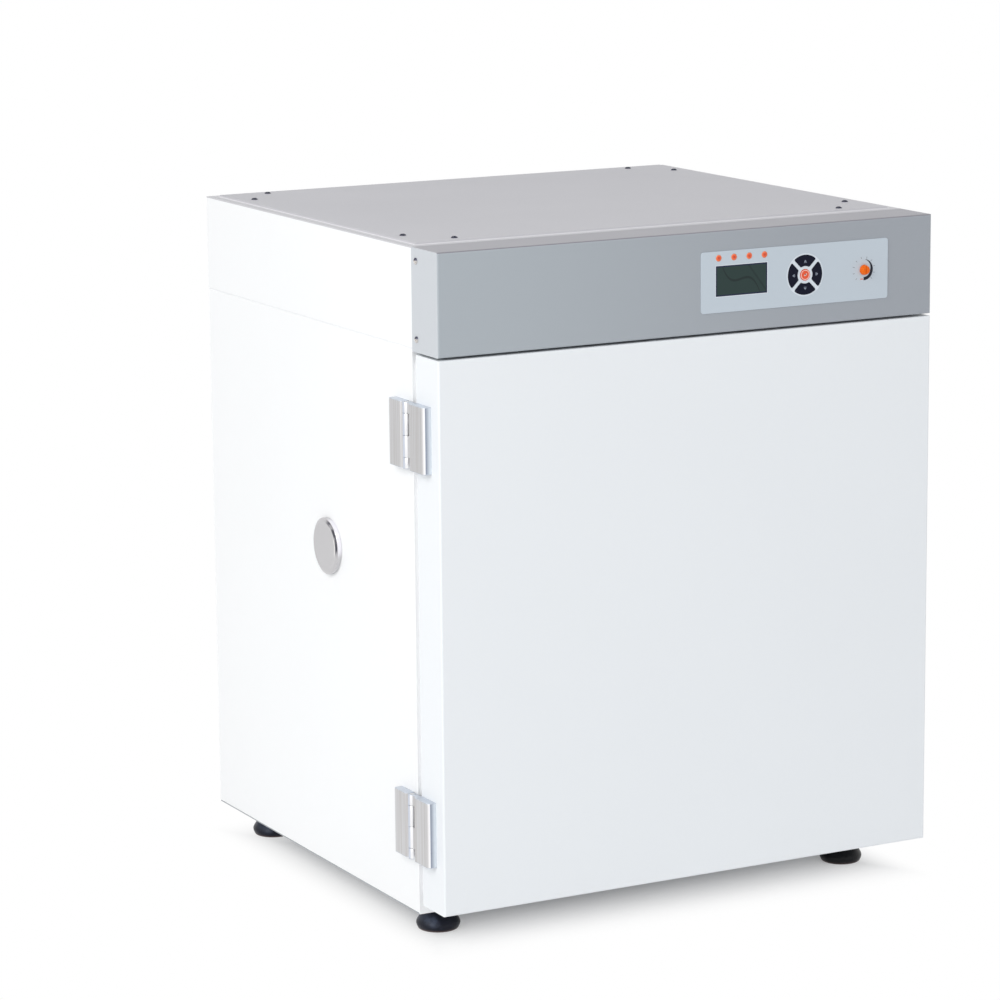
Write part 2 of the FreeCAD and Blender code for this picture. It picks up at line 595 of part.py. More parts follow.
# ---------------------------------------------------------------- shelves
def shelves():
    supports = []
    shelf_x = (chamber_left + s.upright_thickness + s.runner_sheet + s.shelf_clearance,
               chamber_right - s.upright_thickness - s.runner_sheet - s.shelf_clearance)
    shelf_front = chamber_front + s.shelf_setback
    shelf_back = plenum_front - s.shelf_back_gap
    levels = (("lower", chamber_floor + s.lower_shelf_rise),
              ("upper", chamber_floor + s.lower_shelf_rise + s.shelf_spacing))
    for side in ("left", "right"):
        for index, y0 in enumerate((shelf_front + s.upright_margin,
                                    shelf_back - s.upright_margin - s.upright_width)):
            name = f"upright_{side}_{index}"
            post = body(name)
            z = (chamber_floor, chamber_roof - s.upright_end)
            x = mirrored((chamber_left, chamber_left + s.upright_thickness), side)
            extrude(post, "Pad", "YZ", x[0], x[1], [rectangle((y0, y0 + s.upright_width), z)])
            middle = y0 + s.upright_width / 2
            slots = []
            for step in range(10):
                low = chamber_floor + s.slot_pitch * (step + 1)
                slots.append(rectangle((middle - s.slot_width / 2, middle + s.slot_width / 2),
                                       (low, low + s.slot_height)))
            extrude(post, "Pocket", "YZ", x[0], x[1], slots)
            supports.append(post)
        for level, height in levels:
            x0 = chamber_left + s.upright_thickness
            ledge = height - s.rest_gap
            profile = [(x0, ledge - s.runner_sheet), (x0 + s.runner_ledge, ledge - s.runner_sheet),
                       (x0 + s.runner_ledge, ledge), (x0 + s.runner_sheet, ledge),
                       (x0 + s.runner_sheet, ledge + s.runner_leg), (x0, ledge + s.runner_leg)]
            if side == "right":
                profile = [(-x, z) for x, z in reversed(profile)]
            supports.append(prism(f"runner_{side}_{level}", "XZ", shelf_front, shelf_back, [profile]))
    piece("shelf_rails", group("shelf_rails", supports))
    for level, height in levels:
        r, w = s.shelf_rod, s.shelf_wire
        y_front, y_back = shelf_front + r, shelf_back - r
        x_left, x_right = shelf_x[0] + r, shelf_x[1] - r
        z = height + r
        rods = [rod(f"{level}_rod_{name}", r, (x, shelf_front, z), shelf_back - shelf_front, TURN_TO_Y)
                for name, x in (("left", x_left), ("right", x_right))]
        rods += [rod(f"{level}_rod_{name}", r, (x_left, y, z), x_right - x_left, TURN_TO_X)
                 for name, y in (("front", y_front), ("back", y_back))]
        count = int(SIZES["shelf_wires"])
        for step in range(count):
            x = x_left + (x_right - x_left) * (step + 1) / (s.shelf_wires + 1)
            rods.append(rod(f"{level}_wire_{step}", w, (x, shelf_front + r / 2, z + r + w - s.wire_seat),
                            shelf_back - shelf_front - r, TURN_TO_Y))
        piece(f"{level}_shelf", fuse(f"{level}_shelf_wires", *rods))


# ---------------------------------------------------------------- access port
def access_port():
    bore, wall = s.port_bore, s.port_tube_wall
    outer = left - s.port_flange_sheet
    tube = turned("port_tube", [
        (bore, 0), (s.port_flange_radius, 0), (s.port_flange_radius, s.port_flange_sheet),
        (bore + wall, s.port_flange_sheet), (bore + wall, chamber_left - outer),
        (bore, chamber_left - outer)])
    piece("port_tube", place(tube, outer, port_y, port_z, TURN_TO_X))
    plug = bore - s.plug_clearance
    r, edge, high = s.cap_round, s.cap_radius, s.cap_height
    skirt = s.port_flange_sheet + s.rest_gap
    # the cap's own +Z points into the cabinet
    cap = turned("port_cap", [
        (0, -high), (edge - r, -high), (edge, r - high, r, (edge - r, r - high), 1), (edge, -s.rest_gap),
        (s.port_flange_radius + s.plug_clearance * 2, -s.rest_gap),
        (s.port_flange_radius + s.plug_clearance * 2, -skirt), (plug, -skirt),
        (plug, s.cap_plug_length), (plug - 2 * wall, s.cap_plug_length), (plug - 2 * wall, -skirt - wall),
        (0, -skirt - wall)])
    piece("port_cap", place(cap, left, port_y, port_z, TURN_TO_X))
    stopper_length = s.side_wall - s.cap_plug_length - s.stopper_gap
    stopper = turned("port_stopper", [
        (0, -stopper_length), (plug - wall, -stopper_length), (plug, s.rest_gap),
        (s.stopper_head_radius, s.rest_gap), (s.stopper_head_radius, s.stopper_head), (0, s.stopper_head)])
    piece("port_stopper", place(stopper, chamber_left, port_y, port_z, TURN_TO_X))


# ---------------------------------------------------------------- outer door
def outer_door():
    skin = body("door_outer_skin")
    extrude(skin, "Pad", "XZ", front, door_back, [rectangle((left, right), (door_bottom, door_top))])
    soften(skin, "Fillet", s.bend_radius,
           lambda middle, ends: abs(middle.y - number(front)) < NEAR)
    extrude(skin, "Pocket", "XZ", front + s.sheet, door_back,
            [rectangle((left + s.sheet, right - s.sheet), (door_bottom + s.sheet, door_top - s.sheet))])
    grip_y = (front + s.pull_from_front, front + s.pull_from_front + s.pull_width)
    grip_z = (door_middle - s.pull_height / 2, door_middle + s.pull_height / 2)
    extrude(skin, "Pocket", "YZ", right - 2 * s.sheet, right, [rounded(grip_y, grip_z, s.pull_corner)])
    piece("door_outer_skin", skin)

    grip = body("door_pull")
    wall = s.pull_wall
    extrude(grip, "Pad", "YZ", right - s.pull_depth, right, [rounded(grip_y, grip_z, s.pull_corner)])
    lip = s.pull_lip
    extrude(grip, "Pad", "YZ", right, right + wall,
            [rounded((grip_y[0] - lip, grip_y[1] + lip), (grip_z[0] - lip, grip_z[1] + lip),
                     s.pull_corner + lip)])
    extrude(grip, "Pocket", "YZ", right - s.pull_depth + wall, right + wall,
            [rounded((grip_y[0] + wall, grip_y[1] - wall), (grip_z[0] + wall, grip_z[1] - wall),
                     s.pull_corner - wall)])
    piece("door_pull", grip)

    inner_x, inner_z = (left + s.sheet, right - s.sheet), (door_bottom + s.sheet, door_top - s.sheet)
    side, end = s.dish_side_margin, s.dish_end_margin
    dish_x, dish_z = (rabbet_left - side, rabbet_right + side), (rabbet_bottom - end, rabbet_top + end)
    dish_floor = door_back - s.dish_depth
    wall = s.door_liner
    panel = body("door_inner_panel")
    extrude(panel, "Pad", "XZ", door_back - wall, door_back, [rectangle(inner_x, inner_z)])
    extrude(panel, "Pad", "XZ", dish_floor - wall, door_back - wall,
            [rounded((dish_x[0] - wall, dish_x[1] + wall), (dish_z[0] - wall, dish_z[1] + wall),
                     s.dish_corner + wall)])
    extrude(panel, "Pocket", "XZ", dish_floor, door_back, [rounded(dish_x, dish_z, s.dish_corner)])
    piece("door_inner_panel", panel)
    piece("door_insulation", block("door_insulation", (inner_x[0], right - s.pull_depth - wall),
                                   (front + s.sheet, dish_floor - wall), inner_z))
    ring_x = (left + s.gasket_inset, right - s.gasket_inset)
    ring_z = (door_bottom + s.gasket_inset, door_top - s.gasket_inset)
    wide = s.gasket_width
    gasket = prism("door_gasket", "XZ", door_back, face,
                   [rounded(ring_x, ring_z, s.gasket_corner),
                    rectangle((ring_x[0] + wide, ring_x[1] - wide), (ring_z[0] + wide, ring_z[1] - wide))])
    piece("door_gasket", gasket)


def door_hinges():
    """Two block hinges on the left side; the leaves carry the knuckles by turns, the cabinet's the lowest."""
    start = {"cabinet": face + s.cabinet_leaf_start, "door": face - s.door_leaf_start}
    end = {"cabinet": start["cabinet"] + s.cabinet_leaf_width, "door": start["door"] - s.door_leaf_width}
    bore = {"cabinet": s.pin_radius, "door": s.pin_radius + s.running_clearance}
    height = 2 * (s.end_knuckle + s.long_knuckle)
    outer, inside, half_gap = left - s.leaf_thickness, hinge_x + s.knuckle_radius, s.knuckle_gap / 2
    leaves, pins = {"cabinet": [], "door": []}, []
    for level, middle in (("upper", door_middle + s.hinge_spacing / 2),
                          ("lower", door_middle - s.hinge_spacing / 2)):
        low = middle - height / 2
        breaks = [low, low + s.end_knuckle, middle, middle + s.long_knuckle, low + height]
        for owner, sign in (("cabinet", 1), ("door", -1)):
            name = f"{level}_{owner}_leaf"
            near, far = start[owner], end[owner]
            # the cabinet's leaf is cut back where the door's web swings past it
            corner = ([(outer + s.leaf_relief, near), (outer, near + s.leaf_relief)] if owner == "cabinet"
                      else [(outer, near)])
            outline = [(left, near), *corner, (outer, far - s.leaf_bevel * sign),
                       (outer + s.leaf_bevel, far), (left, far)]
            parts = [prism(name, "XY", low, low + height, [outline])]
            for index in range(0 if owner == "cabinet" else 1, 4, 2):
                bottom = breaks[index] + (half_gap if index > 0 else 0)
                above = breaks[index + 1] - (half_gap if index < 3 else 0)
                web = (hinge_y, near) if owner == "cabinet" else (near, hinge_y)
                parts.append(block(f"{name}_web_{index}", (inside - s.web_thickness, inside), web,
                                   (bottom, above)))
                parts.append(rod(f"{name}_knuckle_{index}", s.knuckle_radius, (hinge_x, hinge_y, bottom),
                                 above - bottom))
            hole = rod(f"{name}_bore", bore[owner], (hinge_x, hinge_y, low - s.sheet), height + 2 * s.sheet)
            leaves[owner].append(cut(f"{name}_bored", fuse(f"{name}_whole", *parts), hole))
        pins.append(rod(f"{level}_pin", s.pin_radius, (hinge_x, hinge_y, low), height))
    piece("hinge_cabinet_leaves", group("hinge_cabinet_leaves", leaves["cabinet"]))
    piece("hinge_door_leaves", group("hinge_door_leaves", leaves["door"]))
    piece("hinge_pins", group("hinge_pins", pins))


# ---------------------------------------------------------------- inner glass door
def glass_door():
    piece("glass_pane", block("glass_pane", glass_x, glass_y, glass_z))
    seal_y = (glass_y[1] + s.seal_gap, chamber_front)
    wide = s.seal_width
    seal = prism("glass_door_seal", "XZ", seal_y[0], seal_y[1],
                 [rectangle((chamber_left - wide, chamber_right + wide),
                            (chamber_floor - wide, chamber_roof + wide)),
                  rectangle((chamber_left, chamber_right), (chamber_floor, chamber_roof))])
    piece("glass_door_seal", seal)
    clamps, brackets = [], []
    for end, edge, sign in (("low", glass_z[0], -1), ("high", glass_z[1], 1)):
        frame_edge = rabbet_bottom if end == "low" else rabbet_top
        span = (lambda first, second: (first, second) if sign > 0 else (second, first))
        outer = edge + s.clamp_sheet * sign
        strap_x = (glass_axis_x, glass_axis_x + s.clamp_length)
        strap = block(f"clamp_strap_{end}", strap_x, (glass_y[0] - s.clamp_front, glass_y[0]),
                      span(edge - s.clamp_length * sign, outer))
        cap = block(f"clamp_cap_{end}", strap_x, (glass_y[0], glass_y[1]), span(edge, outer))
        boss_z = span(edge, outer)
        boss = rod(f"clamp_boss_{end}", s.glass_clearance, (glass_axis_x, glass_axis_y, boss_z[0]),
                   boss_z[1] - boss_z[0])
        tip = frame_edge + (s.sheet + s.bracket_height / 2) * sign
        pin_z = span(outer, tip)
        pin = rod(f"clamp_pin_{end}", s.glass_pin_radius, (glass_axis_x, glass_axis_y, pin_z[0]),
                  pin_z[1] - pin_z[0])
        clamps.append(fuse(f"glass_clamp_{end}", strap, cap, boss, pin))
        seat = frame_edge + s.sheet * sign
        bracket_z = span(seat, seat + s.bracket_height * sign)
        housing = block(f"bracket_block_{end}",
                        (glass_axis_x - s.bracket_overhang, glass_axis_x + s.bracket_length),
                        (face + s.sheet, face + s.sheet + s.bracket_depth), bracket_z)
        bore = rod(f"bracket_bore_{end}", s.glass_pin_radius + s.running_clearance,
                   (glass_axis_x, glass_axis_y, bracket_z[0] if sign > 0 else bracket_z[0] + s.bracket_floor),
                   s.bracket_height - s.bracket_floor)
        brackets.append(cut(f"glass_bracket_{end}", housing, bore))
    piece("glass_hinge_clamps", group("glass_hinge_clamps", clamps))
    piece("glass_hinge_brackets", group("glass_hinge_brackets", brackets))
    r, high, stem, neck = s.glass_knob_radius, s.glass_knob_height, s.glass_knob_stem, s.glass_knob_neck
    soft = s.glass_knob_round
    knob = turned("glass_knob", [
        (0, 0), (stem, 0), (stem, neck), (r - soft, neck), (r, neck + soft, soft, (r - soft, neck + soft), 1),
        (r, high - soft), (r - soft, high, soft, (r - soft, high - soft), 1), (0, high)])
    knob_x = glass_x[1] - s.glass_knob_from_edge
    piece("glass_knob", place(knob, knob_x, glass_y[0], (glass_z[0] + glass_z[1]) / 2,
                              TURN_TO_FRONT))


# ---------------------------------------------------------------- upper housing
def upper_housing():
    under_lid = top - s.sheet
    for side in ("left", "right"):
        shell = pan(f"upper_{side}_shell",
                    mirrored((left, left + s.flange), side), (face, back - s.sheet), (deck_top, under_lid),
                    mirrored((left + s.sheet, left + 2 * s.flange), side),
                    (face + s.sheet, back - 2 * s.sheet), (deck_top + s.sheet, under_lid - s.sheet))
        tab = block(f"fascia_tab_{side}",
                    mirrored((left + s.fascia_wall, left + s.fascia_wall + s.sheet), side),
                    (face - s.tab_length, face), (control_z - s.tab_height / 2, control_z + s.tab_height / 2))
        piece(f"upper_{side}_panel", fuse(f"upper_{side}_sheet", shell, tab))
    piece("deck_plate", block("deck_plate", (left + s.seam_inset, right - s.seam_inset),
                              (face, back - s.seam_inset), (deck, deck_top)))
    panel = body("upper_back_panel")
    extrude(panel, "Pad", "XZ", back - s.sheet, back, [rectangle((left, right), (deck_top, under_lid))])
    half_w, half_h = s.inlet_width / 2, s.inlet_height / 2
    openings = [rectangle((inlet_x - half_w, inlet_x + half_w), (inlet_z - half_h, inlet_z + half_h)),
                rectangle((switch_x - s.switch_width / 2, switch_x + s.switch_width / 2),
                          (inlet_z - s.switch_height / 2, inlet_z + s.switch_height / 2))]
    for column in (-2, -1, 0):
        for row in range(-2, 3):
            x0 = (s.louvre_length + s.louvre_pitch) * column
            z0 = inlet_z + s.louvre_pitch * row
            openings.append(rectangle((x0, x0 + s.louvre_length),
                                      (z0 - s.louvre_width / 2, z0 + s.louvre_width / 2)))
    extrude(panel, "Pocket", "XZ", back - s.sheet, back, openings)
    piece("upper_back_panel", panel)

    lid = body("top_lid")
    extrude(lid, "Pad", "XY", under_lid, top, [rectangle((left, right), (face, back))])
    inset = s.lid_border
    extrude(lid, "Pad", "XY", top, top + s.lid_rise,
            [rectangle((left + inset, right - inset), (face + inset, back - inset))])
    soften(lid, "Chamfer", s.lid_slope * 0.9,
           lambda middle, ends: abs(middle.z - number(top + s.lid_rise)) < NEAR)
    inset = s.lid_border + s.lid_slope + s.sheet
    extrude(lid, "Pocket", "XY", under_lid, under_lid + s.lid_rise,
            [rectangle((left + inset, right - inset), (face + inset, back - inset))])
    piece("top_lid", lid)


inlet_x, inlet_z = right - s.inlet_from_right, (deck_top + top) / 2
switch_x = right - s.switch_from_right


def power_entry():
    """Mains inlet with three contacts, and the rocker switch beside it."""
    half_w, half_h = s.inlet_width / 2 - s.plug_clearance, s.inlet_height / 2 - s.plug_clearance
    inlet = body("inlet_shell")
    extrude(inlet, "Pad", "XZ", back - s.inlet_depth, back,
            [rectangle((inlet_x - half_w, inlet_x + half_w), (inlet_z - half_h, inlet_z + half_h))])
    rim = s.inlet_flange
    extrude(inlet, "Pad", "XZ", back, back + rim,
            [rounded((inlet_x - half_w - rim, inlet_x + half_w + rim),
                     (inlet_z - half_h - rim, inlet_z + half_h + rim), s.inlet_corner)])
    socket = (inlet_x - s.socket_width / 2, inlet_x + s.socket_width / 2)
    socket_z = (inlet_z - s.socket_height / 2, inlet_z + s.socket_height / 2)
    extrude(inlet, "Pocket", "XZ", back + rim - s.socket_depth, back + rim, [rectangle(socket, socket_z)])
    half_contact, half_rise = s.contact_width / 2, s.contact_height / 2
    contacts = [block(f"contact_{index}", (x - half_contact, x + half_contact),
                      (back + rim - s.socket_depth, back + rim - s.contact_setback),
                      (z - half_rise, z + half_rise))
                for index, (x, z) in enumerate(((inlet_x - s.contact_pitch, inlet_z - s.contact_drop),
                                                (inlet_x, inlet_z + s.earth_rise),
                                                (inlet_x + s.contact_pitch, inlet_z - s.contact_drop)))]
    piece("power_inlet", fuse("inlet_with_contacts", inlet, *contacts))

    half_w, half_h = s.switch_width / 2 - s.plug_clearance, s.switch_height / 2 - s.plug_clearance
    housing = body("switch_housing")
    extrude(housing, "Pad", "XZ", back - s.switch_depth, back,
            [rectangle((switch_x - half_w, switch_x + half_w), (inlet_z - half_h, inlet_z + half_h))])
    rim = s.switch_wall
    extrude(housing, "Pad", "XZ", back, back + rim,
            [rectangle((switch_x - half_w - rim, switch_x + half_w + rim),
                       (inlet_z - half_h - rim, inlet_z + half_h + rim))])
    extrude(housing, "Pocket", "XZ", back - s.switch_depth + rim * 2, back + rim,
            [rectangle((switch_x - half_w + rim, switch_x + half_w - rim),
                       (inlet_z - half_h + rim, inlet_z + half_h - rim))])
    pivot_y = back - s.rocker_pivot_depth
    extrude(housing, "Pocket", "YZ", switch_x - half_w, switch_x + half_w,
            circles=[(pivot_y, inlet_z, s.rocker_pin_radius + s.running_clearance)])
    piece("switch_housing", housing)
    wide = half_w - rim - s.rocker_clearance
    reach = half_h - rim - s.rocker_clearance * 2
    outer, inner = s.rocker_pivot_depth + s.rocker_proud, s.rocker_pivot_depth - s.rocker_depth
    rocker = body("rocker")
    extrude(rocker, "Pad", "YZ", -wide, wide,
            [[(s.rocker_pivot_depth, -reach), (outer, -reach), (s.rocker_pivot_depth + s.rocker_dip, 0),
              (outer, reach), (s.rocker_pivot_depth, reach),
              (inner, s.rocker_tail), (inner, -s.rocker_tail)]])
    pin_reach = half_w - s.rocker_clearance
    extrude(rocker, "Pad", "YZ", -pin_reach, pin_reach, circles=[(0, 0, s.rocker_pin_radius)])
    piece("power_rocker", place(rocker, switch_x, pivot_y, inlet_z,
                                Rotation(Vector(1, 0, 0), number(s.rocker_tilt))))


# ---------------------------------------------------------------- control panel
def fascia():
    shell = body("control_fascia")
    extrude(shell, "Pad", "XZ", front, face, [rectangle((left, right), (fascia_bottom, top))])
    soften(shell, "Fillet", s.bend_radius,
           lambda middle, ends: abs(middle.y - number(front)) < NEAR)
    wall = s.fascia_wall
    extrude(shell, "Pocket", "XZ", front + wall, face,
            [rectangle((left + wall, right - wall), (fascia_bottom + wall, top - wall))])
    display_x, display_z = display_window()
    holes = [(overlay_left + s.lamp_from_left + s.lamp_pitch * step, control_z + s.lamp_rise,
              s.lamp_radius + s.key_play) for step in range(4)]
    holes.append((keypad_x, control_z, s.keypad_outer + s.key_clearance))
    holes.append((knob_x, control_z, s.knob_shaft_radius + s.key_clearance))
    extrude(shell, "Pocket", "XZ", front, front + wall, [rectangle(display_x, display_z)], holes)
    piece("control_fascia", shell)

    sheet = body("control_overlay")
    half = s.overlay_height / 2
    extrude(sheet, "Pad", "XZ", overlay_front, front,
            [rounded((overlay_left, overlay_right), (control_z - half, control_z + half), s.overlay_corner)])
    holes = [hole for hole in holes if hole[0] is not keypad_x]
    holes.append((keypad_x, control_z, s.select_key_radius + s.key_clearance))
    sectors = [key_outline(quarter, s.key_clearance) for quarter in range(4)]
    extrude(sheet, "Pocket", "XZ", overlay_front, front, [rectangle(display_x, display_z)] + sectors, holes)
    round_keys(sheet, s.key_round + s.key_clearance)
    piece("control_overlay", sheet)


keypad_x = overlay_left + s.keypad_from_left
knob_x = overlay_left + s.knob_from_left


def display_window():
    x = overlay_left + s.display_from_left
    z = control_z + s.display_rise
    return (x, x + s.display_width), (z - s.display_height / 2, z + s.display_height / 2)


def key_outline(quarter, margin):
    """A quarter of the ring of keys, grown by a margin; quarter counts turns of 90 degrees from the right.
    Each corner lies on its circle, half the gap away from the diagonal of the ring."""
    inner, outer, half_gap = s.keypad_inner - margin, s.keypad_outer + margin, s.keypad_gap / 2 - margin
    corners = []
    for radius, side in ((inner, -1), (outer, -1), (outer, 1), (inner, 1)):
        along = root(radius * radius - half_gap * half_gap)
        corners.append(((along + half_gap) * DIAGONAL, (along - half_gap) * DIAGONAL * side))
    for _ in range(quarter):
        corners = [(-y, x) for x, y in corners]
    first, second, third, fourth = [(keypad_x + x, control_z + y) for x, y in corners]
    centre = (keypad_x, control_z)
    return [second, (*third, outer, centre, 1), fourth, (*first, inner, centre, -1)]


def round_keys(holder, radius):
    """Round the corners of the keys, or of the cut-outs that they stand in."""
    reach = number(s.keypad_outer + s.key_clearance + s.key_round)

    def is_corner(middle, ends):
        across = math.hypot(middle.x - number(keypad_x), middle.z - number(control_z))
        along_y = math.hypot(ends.x, ends.z) < NEAR < abs(ends.y)
        return along_y and number(s.keypad_inner - s.key_clearance) - NEAR < across < reach

    soften(holder, "Fillet", radius, is_corner)


def keys():
    behind = front + s.key_length
    for quarter, name in enumerate(("right", "up", "left", "down")):
        cap = prism(f"{name}_key", "XZ", overlay_front - s.key_proud, behind, [key_outline(quarter, 0)])
        round_keys(cap, s.key_round)
        piece(f"{name}_key", cap)
    key_front = overlay_front - s.key_proud
    piece("select_key", rod("select_key", s.select_key_radius, (keypad_x, key_front, control_z),
                            behind - key_front, TURN_TO_Y))


def indicators():
    """Four lamp lenses that reach back to the board."""
    lamps = []
    for step in range(4):
        x = overlay_left + s.lamp_from_left + s.lamp_pitch * step
        lamps.append(rod(f"lamp_{step}", s.lamp_radius,
                         (x, overlay_front - s.key_proud, control_z + s.lamp_rise),
                         board_front - overlay_front + s.key_proud, TURN_TO_Y))
    piece("indicator_lenses", group("indicator_lenses", lamps))


def display():
    """The display's clear window; gives back the module that stands behind it on the board."""
    display_x, display_z = display_window()
    gap = s.key_play
    piece("display_window", block("display_window", (display_x[0] + gap, display_x[1] - gap),
                                  (overlay_front + gap, front + s.fascia_wall),
                                  (display_z[0] + gap, display_z[1] - gap)))
    rim = s.module_rim
    return block("display_module", (display_x[0] - rim, display_x[1] + rim),
                 (front + s.fascia_wall, board_front), (display_z[0] - rim, display_z[1] + rim))


plunger_front = front + s.key_length + s.key_travel + s.key_play
board_front = plunger_front + s.switch_rise


def board():
    """Circuit board with the five switches and its four pillars from the fascia."""
    x = (overlay_left + s.board_margin, knob_x - s.limiter_size / 2 - s.board_to_limiter)
    half = s.overlay_height / 2 + s.board_margin
    z = (control_z - half, control_z + half)
    plate = block("board_plate", x, (board_front, board_front + s.board_thickness), z)
    ring = (s.keypad_inner + s.keypad_outer) / 2
    places = [(keypad_x, control_z), (keypad_x + ring, control_z), (keypad_x - ring, control_z),
              (keypad_x, control_z + ring), (keypad_x, control_z - ring)]
    switches = [rod(f"tact_switch_{index}", s.switch_button_radius, (cx, plunger_front, cz),
                    board_front - plunger_front, TURN_TO_Y)
                for index, (cx, cz) in enumerate(places)]
    inset, inner = s.pillar_inset, front + s.fascia_wall
    pillars = [rod(f"pillar_{column}{row}", s.pillar_radius, (cx, inner, cz), board_front - inner, TURN_TO_Y)
               for column, cx in enumerate((x[0] + inset, x[1] - inset))
               for row, cz in enumerate((z[0] + inset, z[1] - inset))]
    piece("control_board", fuse("board_with_parts", plate, display(), *switches, *pillars))


def limit_control():
    """Over-temperature limiter behind the fascia and the knob whose shaft it carries."""
    half, inner = s.limiter_size / 2, front + s.fascia_wall
    case = block("limiter_case", (knob_x - half, knob_x + half), (inner, inner + s.limiter_size),
                 (control_z - half, control_z + half))
    bore = rod("limiter_bore", s.knob_shaft_radius + s.running_clearance,
               (knob_x, front, control_z), s.knob_shaft_length + s.fascia_wall, TURN_TO_Y)
    piece("temperature_limiter", cut("temperature_limiter", case, bore))
    r, shaft, length, soft = s.knob_radius, s.knob_shaft_radius, s.knob_shaft_length, s.knob_edge
    high = length + s.knob_height
    knob = turned("limit_knob", [
        (0, 0), (shaft, 0), (shaft, length), (r, length), (r, high - soft),
        (r - soft, high, soft, (r - soft, high - soft), 1), (0, high)])
    tip = overlay_front - s.rest_gap
    piece("limit_knob", place(knob, knob_x, tip + s.knob_shaft_length, control_z, TURN_TO_FRONT))


def electronics():
    middle = (face + back) / 2
    half = s.supply_depth / 2
    supply_right = right - s.supply_from_right
    supply_left = supply_right - s.supply_width
    piece("power_supply", block("power_supply", (supply_left, supply_right), (middle - half, middle + half),
                                (deck_top, deck_top + s.supply_height)))
    strip_right = supply_left - s.strip_width / 2
    piece("terminal_block", block("terminal_block", (strip_right - s.strip_length, strip_right),
                                  (middle - s.strip_width / 2, middle + s.strip_width / 2),
                                  (deck_top, deck_top + s.strip_height)))


def fasteners():
    """Two lid screws near each corner, and two at each end of the fascia."""
    screws = []
    middle_y = (face + back) / 2
    for sx in (-1, 1):
        for sy in (-1, 1):
            for index, (dx, dy) in enumerate(((s.lid_screw_near, s.lid_screw_deep),
                                              (s.lid_screw_far, s.lid_screw_near))):
                head = button_head(f"lid_screw_{sx + 1}{sy + 1}{index}")
                screws.append(place(head, sx * (right - dx), middle_y + sy * (s.cabinet_depth / 2 - dy),
                                    top + s.lid_rise))
        for sz in (-1, 1):
            head = button_head(f"fascia_screw_{sx + 1}{sz + 1}")
            screws.append(place(head, sx * right, face - s.fascia_screw_back,
                                control_z + sz * (s.fascia_height / 2 - s.fascia_screw_edge),
                                Rotation(Vector(0, 1, 0), 90 * sx)))
    piece("cover_screws", group("cover_screws", screws))


def button_head(name):
    """A button head whose turned outline follows HEAD_SHAPE."""
    r, high = s.screw_radius, s.screw_head
    return turned(name, [(0, 0), (r, 0), *[(r * wide, high * up) for wide, up in HEAD_SHAPE], (0, high)])


def feet():
    """Levelling feet: a rounded sole, a bulging ring, a hollowed shoulder, a neck and the threaded stud."""
    r, sole, ring, neck, stud = (s.foot_radius, s.foot_sole_radius, s.foot_ring_height, s.foot_neck_radius,
                                 s.stud_radius)
    neck_top = base - s.rest_gap
    tip = base + s.sheet + s.nut_height
    names = ("front_left", "front_right", "back_left", "back_right")
    for name, (x, y) in zip(names, foot_places()):
        foot = turned(f"foot_{name}", [
            (0, 0), (sole, 0), (r, ring), (r - s.foot_lean, ring + s.foot_shoulder),
            (neck, neck_top - s.foot_neck_height), (neck, neck_top), (stud, neck_top), (stud, tip), (0, tip)])
        piece(f"foot_{name}", place(foot, x, y, 0))


def check_and_write():
    """Stop on any failed object, then write each sub-part to its own STEP file."""
    doc.recompute()
    failed = [item.Name for item in doc.Objects if {"Invalid", "Error"} & set(item.State)]
    if failed:
        raise RuntimeError(f"failed objects: {failed}")
    for item in PIECES:
        if item.Shape.isNull() or not item.Shape.isValid() or not item.Shape.Solids:
            raise RuntimeError(f"{item.Label} has no valid solid")
    os.makedirs("parts", exist_ok=True)
    for item in PIECES:
        item.Shape.exportStep(f"parts/{item.Label}.step")
    print(len(PIECES), "sub-parts written")


for make in (lower_shell, front_frame, chamber, air_circulation, shelves, access_port, outer_door,
             door_hinges, glass_door, upper_housing, power_entry, fascia, keys, indicators, board,
             limit_control, electronics, fasteners, feet):
    make()
check_and_write()
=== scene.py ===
"""Laboratory incubator: finishes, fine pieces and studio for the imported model.

Everything is in metres in the model's own frame: +X to the right seen from the front, +Y to the
back, +Z up, with the floor at Z 0. Each group of pieces has an operator of its own.
"""
import json
import math

import bpy
import numpy as np
from mathutils import Matrix, Vector


